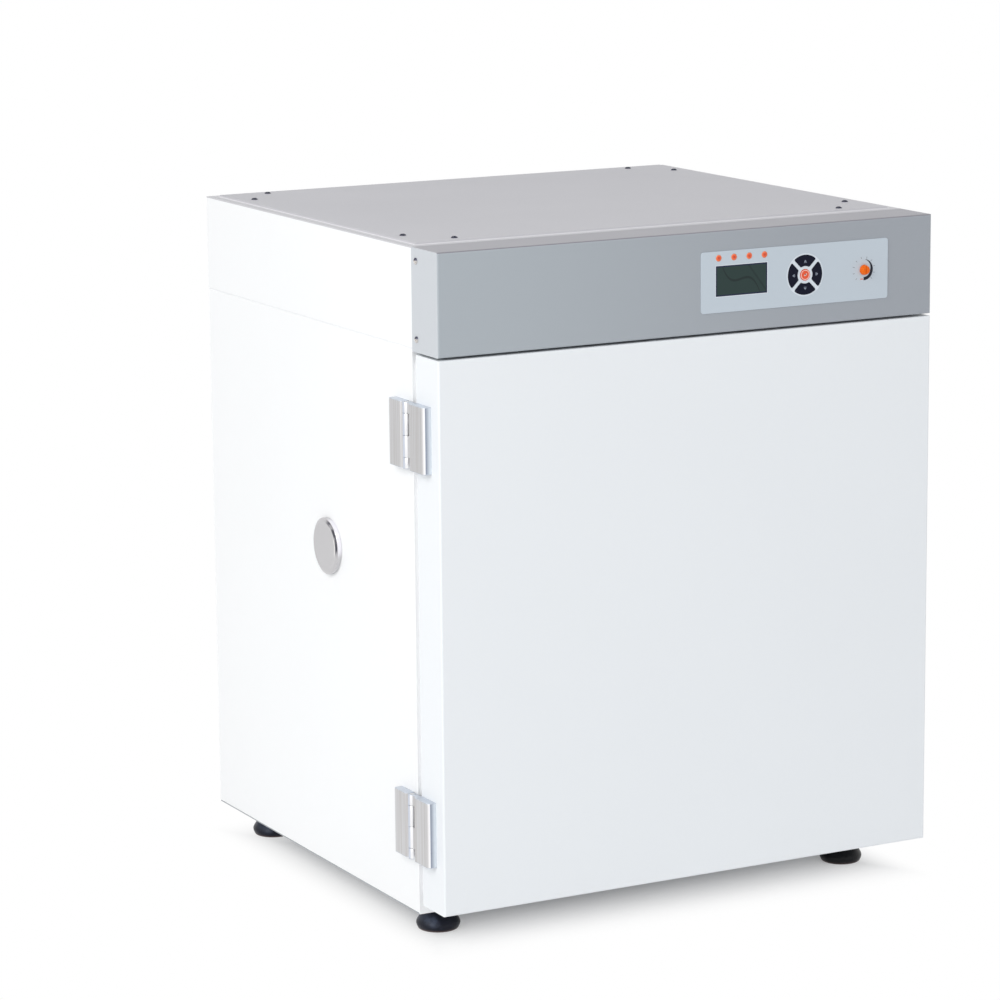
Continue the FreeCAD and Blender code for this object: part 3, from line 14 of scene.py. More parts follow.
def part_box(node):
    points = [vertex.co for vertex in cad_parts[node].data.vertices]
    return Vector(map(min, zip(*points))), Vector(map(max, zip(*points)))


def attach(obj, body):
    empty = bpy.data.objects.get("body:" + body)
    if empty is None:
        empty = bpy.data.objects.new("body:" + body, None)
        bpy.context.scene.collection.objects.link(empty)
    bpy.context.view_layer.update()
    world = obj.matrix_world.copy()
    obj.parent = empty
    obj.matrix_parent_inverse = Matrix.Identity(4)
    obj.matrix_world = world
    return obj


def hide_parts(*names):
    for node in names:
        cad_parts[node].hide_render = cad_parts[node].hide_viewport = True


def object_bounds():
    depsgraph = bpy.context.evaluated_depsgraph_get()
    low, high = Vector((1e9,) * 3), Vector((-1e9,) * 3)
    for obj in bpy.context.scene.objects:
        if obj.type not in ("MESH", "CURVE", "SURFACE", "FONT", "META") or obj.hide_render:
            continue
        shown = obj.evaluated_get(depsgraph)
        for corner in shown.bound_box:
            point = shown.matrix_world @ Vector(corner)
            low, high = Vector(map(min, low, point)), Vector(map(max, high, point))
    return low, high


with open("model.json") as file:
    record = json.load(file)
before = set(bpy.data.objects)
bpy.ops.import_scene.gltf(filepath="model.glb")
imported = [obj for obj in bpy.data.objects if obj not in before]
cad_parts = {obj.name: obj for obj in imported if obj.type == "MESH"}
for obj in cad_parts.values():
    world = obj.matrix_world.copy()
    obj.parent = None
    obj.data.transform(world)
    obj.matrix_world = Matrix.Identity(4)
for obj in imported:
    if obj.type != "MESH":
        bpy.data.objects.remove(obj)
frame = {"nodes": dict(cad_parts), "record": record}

CAD_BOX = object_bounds()
MM = 0.001
FINISHES = {}

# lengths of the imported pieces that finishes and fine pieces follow
HINGE_SPACING = 418 * MM
LID_BORDER = 10 * MM
SCREW_FROM_EDGE = 13.5 * MM
SCREW_RADIUS, SCREW_HEIGHT = 3.6 * MM, 1.9 * MM
SHELF_ROD, SHELF_WIRE = 3 * MM, 1.5 * MM
GASKET_WIDTH, GASKET_CORNER = 16 * MM, 10 * MM
FOOT_NECK, FOOT_STUD, FOOT_SEAT = 11 * MM, 5 * MM, 9.5 * MM
KNOB_SHAFT, KNOB_HEAD = 3 * MM, 5 * MM
LENSES = 4
SUNK, PROUD = -0.03 * MM, 0.05 * MM  # how far a printed plate reaches into its carrier and out of it

# the studio round them
FLOOR_HALF, FLOOR_DROP = 9.0, 0.2 * MM
LAMPS_AIM = Vector((0, 0, 0.35))
CAMERA_PLACE = (-2.0843, -3.7805, 1.2649)
CAMERA_ANGLES = 27.95, 11.20, -0.53  # yaw, pitch and roll in degrees

bl_info = {
    "name": "Laboratory incubator",
    "version": (1, 0, 0),
    "blender": (4, 5, 0),
    "location": "View3D > Sidebar > Incubator",
    "description": "Dresses the packed incubator with its finishes, fine pieces and studio",
    "category": "Object",
}


# ---------------------------------------------------------------- places taken from the frame
def span(node):
    """Lowest and highest corner of a node as two arrays."""
    low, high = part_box(node)
    return np.array(low), np.array(high)


def middle(node):
    low, high = span(node)
    return (low + high) / 2


# ---------------------------------------------------------------- mesh helpers
def mesh_object(name, points, faces, smooth=True):
    """Makes an object from an array of points and arrays of faces, each with its own corner count."""
    mesh = bpy.data.meshes.new(name)
    points = np.asarray(points, float).reshape(-1, 3)
    corners = np.concatenate([np.asarray(part).ravel() for part in faces])
    counts = np.concatenate([np.full(len(part), np.asarray(part).shape[1]) for part in faces])
    mesh.vertices.add(len(points))
    mesh.vertices.foreach_set("co", points.ravel())
    mesh.loops.add(len(corners))
    mesh.loops.foreach_set("vertex_index", corners.astype(np.int32))
    mesh.polygons.add(len(counts))
    mesh.polygons.foreach_set("loop_start", (np.cumsum(counts) - counts).astype(np.int32))
    mesh.polygons.foreach_set("use_smooth", np.full(len(counts), smooth))
    mesh.update(calc_edges=True)
    mesh.validate()
    item = bpy.data.objects.new(name, mesh)
    bpy.context.scene.collection.objects.link(item)
    return item


def quads(rows, columns, close_rows=False, close_columns=True, start=0):
    """Quads over a grid of points numbered row by row."""
    row = np.arange(rows if close_rows else rows - 1)[:, None]
    column = np.arange(columns if close_columns else columns - 1)[None, :]
    next_row, next_column = (row + 1) % rows, (column + 1) % columns
    grid = [row * columns + column, row * columns + next_column,
            next_row * columns + next_column, next_row * columns + column]
    return np.stack(np.broadcast_arrays(*grid), -1).reshape(-1, 4) + start


def rounded(corners, radius, steps=5):
    """Softens the inner corners of an open outline: each becomes the curve
    (1-t)^2 A + 2t(1-t) C + t^2 B between points A and B at the radius from the corner C."""
    corners = np.asarray(corners, float)
    radius = np.broadcast_to(np.asarray(radius, float), len(corners) - 2)[:, None]
    before, here, after = corners[:-2], corners[1:-1], corners[2:]
    reach_in = np.minimum(radius / np.linalg.norm(before - here, axis=1, keepdims=True), 0.48)
    reach_out = np.minimum(radius / np.linalg.norm(after - here, axis=1, keepdims=True), 0.48)
    start, end = here + (before - here) * reach_in, here + (after - here) * reach_out
    t = np.linspace(0, 1, steps)[None, :, None]
    bend = (1 - t) ** 2 * start[:, None] + 2 * t * (1 - t) * here[:, None] + t ** 2 * end[:, None]
    return np.concatenate([corners[:1], bend.reshape(-1, 2), corners[-1:]])


def lathe(profile, count):
    """Turned solid: the profile point (r, z) goes to (r cos a, r sin a, z) for every angle a.
    The profile starts and ends on the axis and runs anticlockwise seen with z up and r to the right."""
    profile = np.asarray(profile, float)
    angle = np.arange(count) * 2 * math.pi / count
    radius, height = profile[1:-1, 0:1], profile[1:-1, 1:2]
    ring = np.stack([radius * np.cos(angle), radius * np.sin(angle), height + 0 * angle], -1)
    poles = np.array([[0, 0, profile[0, 1]], [0, 0, profile[-1, 1]]])
    points = np.concatenate([ring.reshape(-1, 3), poles])
    rows = len(profile) - 2
    here, following = np.arange(count), (np.arange(count) + 1) % count
    bottom = np.stack([following, here, np.full(count, rows * count)], -1)
    last = (rows - 1) * count
    top = np.stack([last + here, last + following, np.full(count, rows * count + 1)], -1)
    return points, [quads(rows, count), bottom, top]


def turned_to(points, axis, place):
    """Carries points made about +Z so that +Z lies along the axis, and moves them to the place."""
    turn = np.array(Vector((0, 0, 1)).rotation_difference(Vector(axis)).to_matrix())
    return points @ turn.T + np.asarray(place, float)


def prism_plate(outline, low, high):
    """Closed plate: the outline's points at the low and the high height, walls between them."""
    outline = np.asarray(outline, float)
    count = len(outline)
    points = np.concatenate([np.column_stack([outline, np.full(count, low)]),
                             np.column_stack([outline, np.full(count, high)])])
    caps = [np.arange(count)[None, ::-1], np.arange(count)[None, :] + count]
    return points, [quads(2, count)] + caps


def joined(parts):
    """Several sets of points and faces as one."""
    points, faces, start = [], [], 0
    for part_points, part_faces in parts:
        points.append(part_points)
        faces += [np.asarray(face) + start for face in part_faces]
        start += len(part_points)
    return np.concatenate(points), faces


def add_piece(name, parts, body, slot_name, material=None, replaced=(), smooth=True):
    """Makes a piece that rides on a body and takes its finish from a slot of the record."""
    points, faces = parts
    item = mesh_object(name, points, faces, smooth)
    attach(item, body)
    if replaced:
        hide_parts(*replaced)
    item.data.materials.append(FINISHES[material or slot_name])
    return item


def sharpen(item, angle=35):
    """Keeps the edges steeper than the angle crisp on a smooth piece."""
    item.data.set_sharp_from_angle(angle=math.radians(angle))


# ---------------------------------------------------------------- shading helpers
class Tree:
    """Short ways to add and join nodes in one node tree."""

    def __init__(self, tree):
        self.tree = tree
        self.count = 0

    def node(self, kind, settings=None, **inputs):
        made = self.tree.nodes.new(kind)
        made.location = (220 * (self.count % 8) - 1400, -260 * (self.count // 8))
        self.count += 1
        for name, value in (settings or {}).items():
            setattr(made, name, value)
        for name, value in inputs.items():
            self.feed(made.inputs[name.replace("_", " ")], value)
        return made

    def feed(self, socket, value):
        if isinstance(value, bpy.types.NodeSocket):
            self.tree.links.new(value, socket)
        else:
            socket.default_value = value

    def math(self, operation, first, second=0.0, third=0.0, clamp=False):
        made = self.node("ShaderNodeMath", {"operation": operation, "use_clamp": clamp})
        for socket, value in zip(made.inputs, (first, second, third)):
            self.feed(socket, value)
        return made.outputs[0]

    def minus(self, first, second):
        return self.math("SUBTRACT", first, second)

    def times(self, first, second):
        return self.math("MULTIPLY", first, second)

    def mix(self, factor, first, second, blend="MIX"):
        made = self.node("ShaderNodeMix", {"data_type": "RGBA", "blend_type": blend})
        for index, value in ((0, factor), (6, first), (7, second)):
            self.feed(made.inputs[index], value)
        return made.outputs[2]

    def smooth(self, value, low, high, to_low=0.0, to_high=1.0):
        made = self.node("ShaderNodeMapRange", {"interpolation_type": "SMOOTHSTEP"})
        for socket, item in zip(made.inputs, (value, low, high, to_low, to_high)):
            self.feed(socket, item)
        return made.outputs[0]

    def gap(self, first, second):
        """The distance between two values."""
        return self.math("ABSOLUTE", self.minus(first, second))

    def band(self, value, centre, low, high, strength=1.0):
        """The strength within the low distance of the centre, falling to 0 at the high one."""
        return self.smooth(self.gap(value, centre), low, high, strength, 0.0)

    def scaled(self, vector, factors):
        made = self.node("ShaderNodeVectorMath", {"operation": "MULTIPLY"})
        self.feed(made.inputs[0], vector)
        self.feed(made.inputs[1], factors)
        return made.outputs[0]

    def noise(self, vector, scale, detail=3.0, roughness=0.5):
        made = self.node("ShaderNodeTexNoise", {"noise_dimensions": "3D"}, Vector=vector, Scale=scale,
                         Detail=detail, Roughness=roughness)
        return made.outputs["Fac"]

    def blend(self, share, first, second):
        """The first shader at share 0 and the second at share 1."""
        made = self.node("ShaderNodeMixShader")
        for socket, value in zip(made.inputs, (share, first, second)):
            self.feed(socket, value)
        return made.outputs[0]

    def group(self, name, **inputs):
        made = self.node("ShaderNodeGroup", {"node_tree": bpy.data.node_groups[name]})
        for key, value in inputs.items():
            self.feed(made.inputs[key.replace("_", " ")], value)
        return made


def effect(name, takes, gives):
    """Starts a shared node group and gives its tree with its two end nodes."""
    made = bpy.data.node_groups.new(name, "ShaderNodeTree")
    for direction, sockets in (("INPUT", takes), ("OUTPUT", gives)):
        for label, kind, value in sockets:
            socket = made.interface.new_socket(name=label, in_out=direction, socket_type=f"NodeSocket{kind}")
            if value is not None:
                socket.default_value = value
    tree = Tree(made)
    return tree, tree.node("NodeGroupInput").outputs, tree.node("NodeGroupOutput").inputs


def spread_roughness(tree, takes, gives, pattern):
    """Roughness that strays from its middle value by the pattern times the spread."""
    tree.feed(gives["Roughness"], tree.math("MULTIPLY_ADD", tree.minus(pattern, 0.5),
                                            takes["Spread"], takes["Roughness"]))


def make_effects():
    """The effects that several finishes share: mottle, peel, brush marks and moulded grain."""
    tree, takes, gives = effect(
        "mottle", (("Vector", "Vector", None), ("Colour", "Color", (0.8, 0.8, 0.8, 1)),
                   ("Amount", "Float", 0.03), ("Scale", "Float", 6.0)),
        (("Colour", "Color", None), ("Mask", "Float", None)))
    broad = tree.noise(takes["Vector"], takes["Scale"], 2.0)
    fine_scale = tree.times(takes["Scale"], 37.0)
    fine = tree.noise(takes["Vector"], fine_scale, 3.0)
    both = tree.math("ADD", tree.times(broad, 0.65), tree.times(fine, 0.35))
    shade = tree.math("MULTIPLY_ADD", tree.minus(both, 0.5),
                      tree.times(takes["Amount"], 4.0), 1.0)
    grey = tree.node("ShaderNodeCombineColor")
    for socket in grey.inputs[:3]:
        tree.feed(socket, shade)
    tree.feed(gives["Colour"], tree.mix(1.0, takes["Colour"], grey.outputs[0], "MULTIPLY"))
    tree.feed(gives["Mask"], both)

    tree, takes, gives = effect(
        "peel", (("Vector", "Vector", None), ("Scale", "Float", 900.0),
                 ("Roughness", "Float", 0.4), ("Spread", "Float", 0.08)),
        (("Height", "Float", None), ("Roughness", "Float", None)))
    ripple = tree.noise(takes["Vector"], takes["Scale"], 2.0, 0.4)
    grain = tree.noise(takes["Vector"], tree.times(takes["Scale"], 5.0), 2.0, 0.5)
    tree.feed(gives["Height"], tree.math("MULTIPLY_ADD", grain, 0.25, ripple))
    spread_roughness(tree, takes, gives, tree.noise(takes["Vector"], 9.0, 4.0))

    tree, takes, gives = effect(
        "brush_marks", (("Vector", "Vector", None), ("Stretch", "Vector", (40, 1600, 1600)),
                        ("Roughness", "Float", 0.35), ("Spread", "Float", 0.25)),
        (("Height", "Float", None), ("Roughness", "Float", None), ("Mask", "Float", None)))
    lines = tree.noise(tree.scaled(takes["Vector"], takes["Stretch"]), 1.0, 4.0, 0.65)
    tree.feed(gives["Height"], lines)
    tree.feed(gives["Mask"], lines)
    spread_roughness(tree, takes, gives, lines)

    tree, takes, gives = effect(
        "moulded", (("Vector", "Vector", None), ("Scale", "Float", 2500.0),
                    ("Roughness", "Float", 0.5), ("Spread", "Float", 0.15)),
        (("Height", "Float", None), ("Roughness", "Float", None)))
    cells = tree.node("ShaderNodeTexVoronoi", {"feature": "SMOOTH_F1"}, Vector=takes["Vector"],
                      Scale=takes["Scale"])
    tree.feed(gives["Height"], cells.outputs["Distance"])
    spread_roughness(tree, takes, gives, tree.noise(takes["Vector"], 60.0, 4.0))


def srgb(red, green, blue):
    """A colour given on the 0 to 255 display scale, as the shader's linear colour."""
    shares = np.array([red, green, blue]) / 255.0
    linear = np.where(shares <= 0.04045, shares / 12.92, ((shares + 0.055) / 1.055) ** 2.4)
    return (*linear.tolist(), 1.0)


class Finish(Tree):
    """A material with its shader, whose plain numbers sit on the shader's own sockets."""

    def __init__(self, name, **constants):
        made = bpy.data.materials.new(f"{name}_finish")
        FINISHES[name] = made
        made.use_nodes = True
        made.node_tree.nodes.clear()
        super().__init__(made.node_tree)
        self.output = self.node("ShaderNodeOutputMaterial")
        self.shader = self.node("ShaderNodeBsdfPrincipled")
        self.feed(self.output.inputs["Surface"], self.shader.outputs[0])
        for key, value in constants.items():
            self.shader.inputs[key.replace("_", " ")].default_value = value
        self.where = self.node("ShaderNodeTexCoord").outputs["Object"]

    def axes(self):
        parts = self.node("ShaderNodeSeparateXYZ", Vector=self.where).outputs
        return parts[0], parts[1], parts[2]

    def mottled(self, colour, amount, scale):
        """The colour with a slight mottle."""
        made = self.group("mottle", Vector=self.where, Colour=colour, Amount=amount, Scale=scale)
        return made.outputs["Colour"]

    def colour(self, value):
        self.feed(self.shader.inputs["Base Color"], value)

    def gloss(self, pattern, spread, level):
        """Roughness: the pattern times the spread, over the level."""
        self.feed(self.shader.inputs["Roughness"], self.math("MULTIPLY_ADD", pattern, spread, level))

    def bump(self, height, distance):
        made = self.node("ShaderNodeBump", Height=height, Distance=distance, Strength=1.0)
        self.feed(self.shader.inputs["Normal"], made.outputs[0])

    def surface(self, pattern, depth, **settings):
        """Roughness and bumps from one of the shared patterns."""
        grain = self.group(pattern, Vector=self.where, **settings)
        self.feed(self.shader.inputs["Roughness"], grain.outputs["Roughness"])
        self.bump(grain.outputs["Height"], depth)


def finish(name, colour, mottle, scale, pattern, depth, constants, **settings):
    """A material with mottled colour and one shared pattern; gives it with that colour."""
    tree = Finish(name, **constants)
    plain = tree.mottled(colour, mottle, scale)
    tree.colour(plain)
    tree.surface(pattern, depth, **settings)
    return tree, plain


def paint(name, colour, roughness=0.42, mottle=0.008, peel=850.0, depth=0.00002, **constants):
    """Powder coat: orange peel in the surface and a slight mottle in colour and gloss."""
    return finish(name, colour, mottle, 5.0, "peel", depth, constants, Scale=peel, Roughness=roughness,
                  Spread=0.08)


def metal(name, colour, roughness=0.3, stretch=(40, 1600, 1600), spread=0.25, depth=0.00001, mottle=0.02):
    """Bare metal with drawn or brushed lines along one direction."""
    return finish(name, colour, mottle, 14.0, "brush_marks", depth, {"Metallic": 1.0}, Stretch=stretch,
                  Roughness=roughness, Spread=spread)


def plastic(name, colour, roughness=0.45, scale=2500.0, depth=0.00003, **constants):
    """Moulded plastic or rubber with a fine spark-eroded grain."""
    return finish(name, colour, 0.03, 30.0, "moulded", depth, constants, Scale=scale, Roughness=roughness,
                  Spread=0.15)


def inside_box(tree, x, z, centre, half, soft):
    """1 inside the upright rectangle, 0 outside, over a soft edge."""
    across = tree.minus(tree.gap(x, centre[0]), half[0])
    up = tree.minus(tree.gap(z, centre[2]), half[2])
    return tree.smooth(tree.math("MAXIMUM", across, up), -soft, soft, 1.0, 0.0)


def distance_from(tree, across, up, centre):
    """Distance in a flat view from a centre given as (across, up)."""
    offsets = tree.minus(across, centre[0]), tree.minus(up, centre[1])
    squares = [tree.times(offset, offset) for offset in offsets]
    return tree.math("SQRT", tree.math("ADD", *squares))


def fascia_material():
    """Silver grey coat with painted light and shade: painted shade along the top bend and a darker painted
    shade line at its front, and painted light that makes the front lighter towards the left and the folded
    ends lighter still.
    """
    tree, plain = paint("fascia_silver", srgb(160, 165, 172), 0.4, 0.012, 1600.0, 0.00003)
    x, y, z = tree.axes()
    low, high = span("control_fascia")
    edge = tree.minus(high[0], tree.math("ABSOLUTE", x))
    # painted light: the folded ends are painted lighter, as lit from the side
    end = tree.times(tree.smooth(edge, 0.5 * MM, 0.9 * MM, 1.0, 0.0),
                    tree.smooth(y, low[1] + 0.5 * MM, low[1] + 1.5 * MM))
    # painted light: the front is painted lighter towards the left, nearer the key lamp
    lit_towards_left = tree.mix(tree.smooth(x, 0.2, low[0]), plain, srgb(171, 178, 184))
    # painted shade: the top bend is painted darker, and darker still along its front edge
    above = tree.smooth(z, high[2] - 1.2 * MM, high[2] - 0.3 * MM)
    top_shade = tree.mix(above, lit_towards_left, srgb(154, 153, 160))
    near_front = tree.smooth(y, low[1] + 2 * MM, low[1] + 7 * MM, 1.0, 0.0)
    front = tree.mix(tree.times(above, near_front), top_shade, srgb(132, 130, 138))
    tree.colour(tree.mix(end, front, srgb(200, 204, 209)))


def lid_material():
    """Light grey coat with painted light: a lighter painted border along the folded edges, and a painted
    highlight line along the crease inside it.
    """
    tree, plain = paint("enamel_lid", srgb(195, 194, 199), 0.5, 0.02, 1400.0, 0.00006)
    x, y, _ = tree.axes()
    low, high = span("top_lid")
    across = tree.minus(high[0], tree.math("ABSOLUTE", x))
    rim = tree.math("MINIMUM", across, tree.minus(y, low[1]))
    # painted light: the border along the folded edges is painted lighter than the field
    border = tree.smooth(rim, LID_BORDER, LID_BORDER + 0.6 * MM, 1.0, 0.0)
    # painted highlight: a light line along the crease
    crease = tree.band(rim, LID_BORDER - 0.4 * MM, 0.4 * MM, 1.2 * MM)
    lit_border = tree.mix(border, plain, srgb(206, 205, 209))
    tree.colour(tree.mix(crease, lit_border, srgb(228, 227, 230)))


def hinge_material():
    """Drawn steel with warm lines and painted light: a white painted highlight on the front of the knuckles
    with a bluish painted reflection behind it; at the front end of the door leaves a white painted highlight
    on the outer corner, then bluish painted shade that turns lighter towards the door; and a bluish painted
    reflection on the ends at the top and bottom."""
    tree, plain = metal("hinge_steel", srgb(214, 214, 216), 0.38, (1400, 1400, 25), 0.3, 0.00002)
    x, y, z = tree.axes()
    low, high = span("hinge_door_leaves")
    lines = tree.noise(tree.scaled(tree.where, (420, 420, 4)), 1.0, 3.0, 0.6)
    streaked = tree.mix(tree.smooth(lines, 0.35, 0.65, 0.0, 0.5), plain, srgb(186, 182, 179))
    from_pin = tree.minus(y, middle("hinge_pins")[1])
    # painted light: a white painted highlight on the front of the knuckles and a bluish painted reflection
    # behind it
    knuckle = tree.mix(tree.smooth(from_pin, -3.0 * MM, -1.6 * MM), srgb(252, 252, 254), srgb(212, 219, 232))
    leaves = tree.mix(tree.band(from_pin, 0.0, 4.0 * MM, 5.6 * MM, 0.9), streaked, knuckle)
    # painted shade on the front end of the door leaves: bluish and dark at the outer side, lighter towards
    # the door
    end_face_shade = tree.mix(tree.smooth(x, low[0] + 2 * MM, high[0] - 1 * MM),
                       srgb(138, 146, 164), srgb(226, 232, 238))
    # painted highlight: a white line on the outer corner of that front end
    outer = tree.smooth(x, low[0] + 2.6 * MM, low[0] + 3.2 * MM)
    corner = tree.mix(outer, srgb(250, 250, 252), end_face_shade)
    near_front = tree.smooth(y, low[1] + 0.3 * MM, low[1] + 2.6 * MM, 1.0, 0.0)
    # painted reflection: the ends at the top and bottom are painted bluish
    half = (high[2] - low[2] - HINGE_SPACING) / 2
    from_centre = tree.gap(tree.gap(z, (low[2] + high[2]) / 2), HINGE_SPACING / 2)
    ends = tree.smooth(from_centre, half - 0.9 * MM, half - 0.3 * MM)
    faces = tree.mix(near_front, leaves, corner)
    tree.colour(tree.mix(ends, faces, srgb(206, 212, 221)))


def foot_material():
    """Dark rubber with painted light: a bluish painted highlight in patches on the left flank of the
    left-hand feet, which are painted lighter than the right-hand ones, and a warmer lighter line round the
    bottom of its sole.
    """
    tree, plain = plastic("foot_rubber", srgb(12, 13, 17), 0.36, 1800.0, 0.00005, Specular_IOR_Level=0.22)
    x, _, z = tree.axes()
    # painted highlight: a bluish patch on the left flank, broken up by noise; the mask named dust is this
    # painted highlight
    flank = distance_from(tree, x, z, (middle("foot_front_left")[0] - 15 * MM, 12 * MM))
    patchy = tree.smooth(tree.noise(tree.where, 140.0, 3.0), 0.3, 0.6, 0.4, 1.0)
    dust = tree.times(tree.smooth(flank, 1 * MM, 9 * MM, 1.0, 0.0), patchy)
    lit_flank = tree.mix(dust, srgb(22, 25, 38), srgb(78, 86, 104))
    # painted light: the left-hand feet are painted lighter and bluer, the right-hand ones stay dark as in
    # shade
    left_feet_lit = tree.mix(tree.smooth(x, span("lower_left_panel")[0][0], 0.0, 1.0, 0.0), plain, lit_flank)
    sole = tree.smooth(z, 1.2 * MM, 3.0 * MM, 1.0, 0.0)
    tree.colour(tree.mix(sole, left_feet_lit, srgb(88, 72, 72)))


def screw_material():
    """Plated screws with painted dark reflections: dark bluish all over on the lid, and bright with a dark
    upper half on the fascia's ends.
    """
    tree, plain = metal("screw_heads", srgb(206, 202, 198), 0.25, (1500, 1500, 1500), 0.2)
    x, _, z = tree.axes()
    ends = span("cover_screws")[1][0]
    on_end = tree.smooth(tree.math("ABSOLUTE", x), ends - 2.2 * MM, ends - 2.0 * MM)
    low, high = span("control_fascia")
    from_middle = tree.minus(z, (low[2] + high[2]) / 2)
    apart = (high[2] - low[2]) / 2 - SCREW_FROM_EDGE
    beyond = tree.minus(tree.math("ABSOLUTE", from_middle), apart)
    above = tree.times(beyond, tree.math("SIGN", from_middle))
    # painted reflection: the upper half of each screw on the fascia's ends is painted dark
    upper_reflection = tree.mix(tree.smooth(above, 0.0, 1.4 * MM), plain, srgb(84, 84, 100))
    # painted reflection: the lid's screws are painted dark bluish all over
    tree.colour(tree.mix(on_end, srgb(62, 64, 78), upper_reflection))


def overlay_material():
    """Printed film: cool grey, a pale surround for the keys, and a painted highlight as a pale line round the
    display.
    """
    tree = Finish("overlay_film", Specular_IOR_Level=0.35)
    x, _, z = tree.axes()
    keypad, window = middle("select_key"), span("display_window")
    pale, line = srgb(220, 228, 236), srgb(230, 236, 243)
    ring = tree.smooth(distance_from(tree, x, z, (keypad[0], keypad[2])), 22.6 * MM, 23.4 * MM, 1.0, 0.0)
    centre = (window[0] + window[1]) / 2
    half = (window[1] - window[0]) / 2 + 0.7 * MM
    # painted highlight: a pale line round the display window's edge
    border = inside_box(tree, x, z, centre, half, 0.15 * MM)
    plain = tree.mottled(srgb(196, 206, 215), 0.012, 12.0)
    tree.colour(tree.mix(border, tree.mix(ring, plain, pale), line))
    tree.surface("peel", 0.00001, Scale=1500.0, Roughness=0.42, Spread=0.1)


def display_material():
    """Dark liquid crystal window with a faint trace and a faint slanted line in a navy frame. With the
    share a across and u up, the trace is u = 0.07 - 9.9 (a^3/3 + 0.025 a^2 - 0.05 a)."""
    tree = Finish("display_glass", Specular_IOR_Level=0.3)
    x, _, z = tree.axes()
    low, high = span("display_window")
    centre, half = (low + high) / 2, (high - low) / 2
    across = tree.math("DIVIDE", tree.minus(x, centre[0]), half[0])
    up = tree.math("DIVIDE", tree.minus(z, centre[2]), half[2])
    bowl = tree.math("MULTIPLY_ADD", across, 1 / 3, 0.025)
    bowl = tree.minus(tree.times(bowl, across), 0.05)
    wave = tree.math("MULTIPLY_ADD", tree.times(bowl, across), -9.9, 0.07)
    slant = tree.math("MULTIPLY_ADD", across, -2.55, 1.64)
    trace, streak = tree.band(up, wave, 0.03, 0.12, 0.75), tree.band(up, slant, 0.03, 0.16, 0.5)
    field = inside_box(tree, x, z, centre, half - 1.3 * MM, 0.3 * MM)
    fine = tree.noise(tree.where, 4000.0, 2.0)
    lit = tree.mix(tree.times(fine, 0.3), srgb(34, 54, 52), srgb(44, 64, 60))
    inner = tree.mix(tree.math("MAXIMUM", trace, streak), lit, srgb(14, 28, 28))
    tree.colour(tree.mix(field, srgb(22, 30, 62), inner))
    smear = tree.noise(tree.where, 60.0, 3.0)
    tree.gloss(smear, 0.12, 0.26)


def cap_material():
    """Polished steel: circular marks on the face, a dark painted reflection as a crescent with a pale painted
    reflection streak inside it on the rim's upper front, and a pale painted highlight on the wall."""
    tree = Finish("cap_polished", Metallic=1.0)
    plain = tree.mottled(srgb(200, 199, 201), 0.02, 40.0)
    _, y, z = tree.axes()
    centre = middle("port_cap")
    distance = distance_from(tree, y, z, centre[1:])
    angle = tree.math("ARCTAN2", tree.minus(z, centre[2]), tree.minus(centre[1], y))
    turned = tree.node("ShaderNodeCombineXYZ", X=tree.times(distance, 2600.0)).outputs[0]
    swept = tree.node("ShaderNodeCombineXYZ", X=tree.times(distance, 420.0),
                      Y=tree.times(angle, 2.5)).outputs[0]
    waves = tree.smooth(tree.noise(swept, 1.0, 1.0), 0.36, 0.5, 0.35, 1.0)
    upper = tree.band(angle, 0.6, 0.55, 0.95)
    # painted reflection: a dark crescent on the rim's upper front, broken up by the waves
    crescent_reflection = tree.times(upper, tree.band(distance, 27.9 * MM, 1.5 * MM, 2.9 * MM))
    # painted highlight: the wall is painted pale on the upper front
    wall = tree.times(upper, tree.smooth(distance, 30.3 * MM, 30.8 * MM))
    # painted reflection: a pale streak inside the crescent
    inner = tree.times(tree.band(angle, 0.1, 0.25, 0.5, 0.8),
                      tree.band(distance, 24.2 * MM, 0.5 * MM, 2.0 * MM))
    streaked = tree.mix(inner, plain, srgb(240, 238, 236))
    shaded = tree.mix(tree.times(crescent_reflection, waves), streaked, srgb(80, 80, 90))
    tree.colour(tree.mix(wall, shaded, srgb(244, 242, 248)))
    rings = tree.noise(turned, 1.0, 3.0)
    tree.gloss(rings, 0.1, 0.1)
    tree.bump(rings, 0.000004)


def glass_material():
    """Clear tempered pane; a faint film of dust varies its tint."""
    tree = Finish("door_glass", Transmission_Weight=1.0, IOR=1.46, Roughness=0.02)
    tree.colour(tree.mottled((0.93, 0.975, 0.96, 1), 0.01, 9.0))


def wool_material():
    """Mineral wool: soft yellow fibre in all directions."""
    tree = Finish("insulation", Sheen_Weight=0.3)
    strands = tree.noise(tree.scaled(tree.where, (900, 300, 900)), 1.0, 6.0, 0.7)
    tree.colour(tree.mottled(srgb(214, 196, 140), 0.12, 22.0))
    tree.gloss(strands, 0.2, 0.75)
    tree.bump(strands, 0.0006)


def lamp_material():
    """Tinted indicator lens, brighter at its middle, with a pale ring at its edge."""
    tree = Finish("lamp_lens", Coat_Weight=0.5, Coat_Roughness=0.1)
    x, _, z = tree.axes()
    low, high = span("indicator_lenses")
    radius = (high[2] - low[2]) / 2
    pitch = (high[0] - low[0] - 2 * radius) / (LENSES - 1)
    along = tree.math("DIVIDE", tree.minus(x, low[0] + radius), pitch)
    offset = tree.times(tree.minus(along, tree.math("ROUND", along)), pitch)
    distance = distance_from(tree, offset, z, (0.0, middle("indicator_lenses")[2]))
    core = tree.smooth(distance, 0.5 * MM, 2.6 * MM, 1.0, 0.0)
    ring = tree.smooth(distance, 2.7 * MM, 3.3 * MM)
    tree.colour(tree.mix(ring, tree.mix(core, srgb(240, 96, 34), srgb(206, 62, 30)), srgb(240, 150, 110)))
    tree.gloss(tree.noise(tree.where, 300.0, 2.0), 0.1, 0.2)


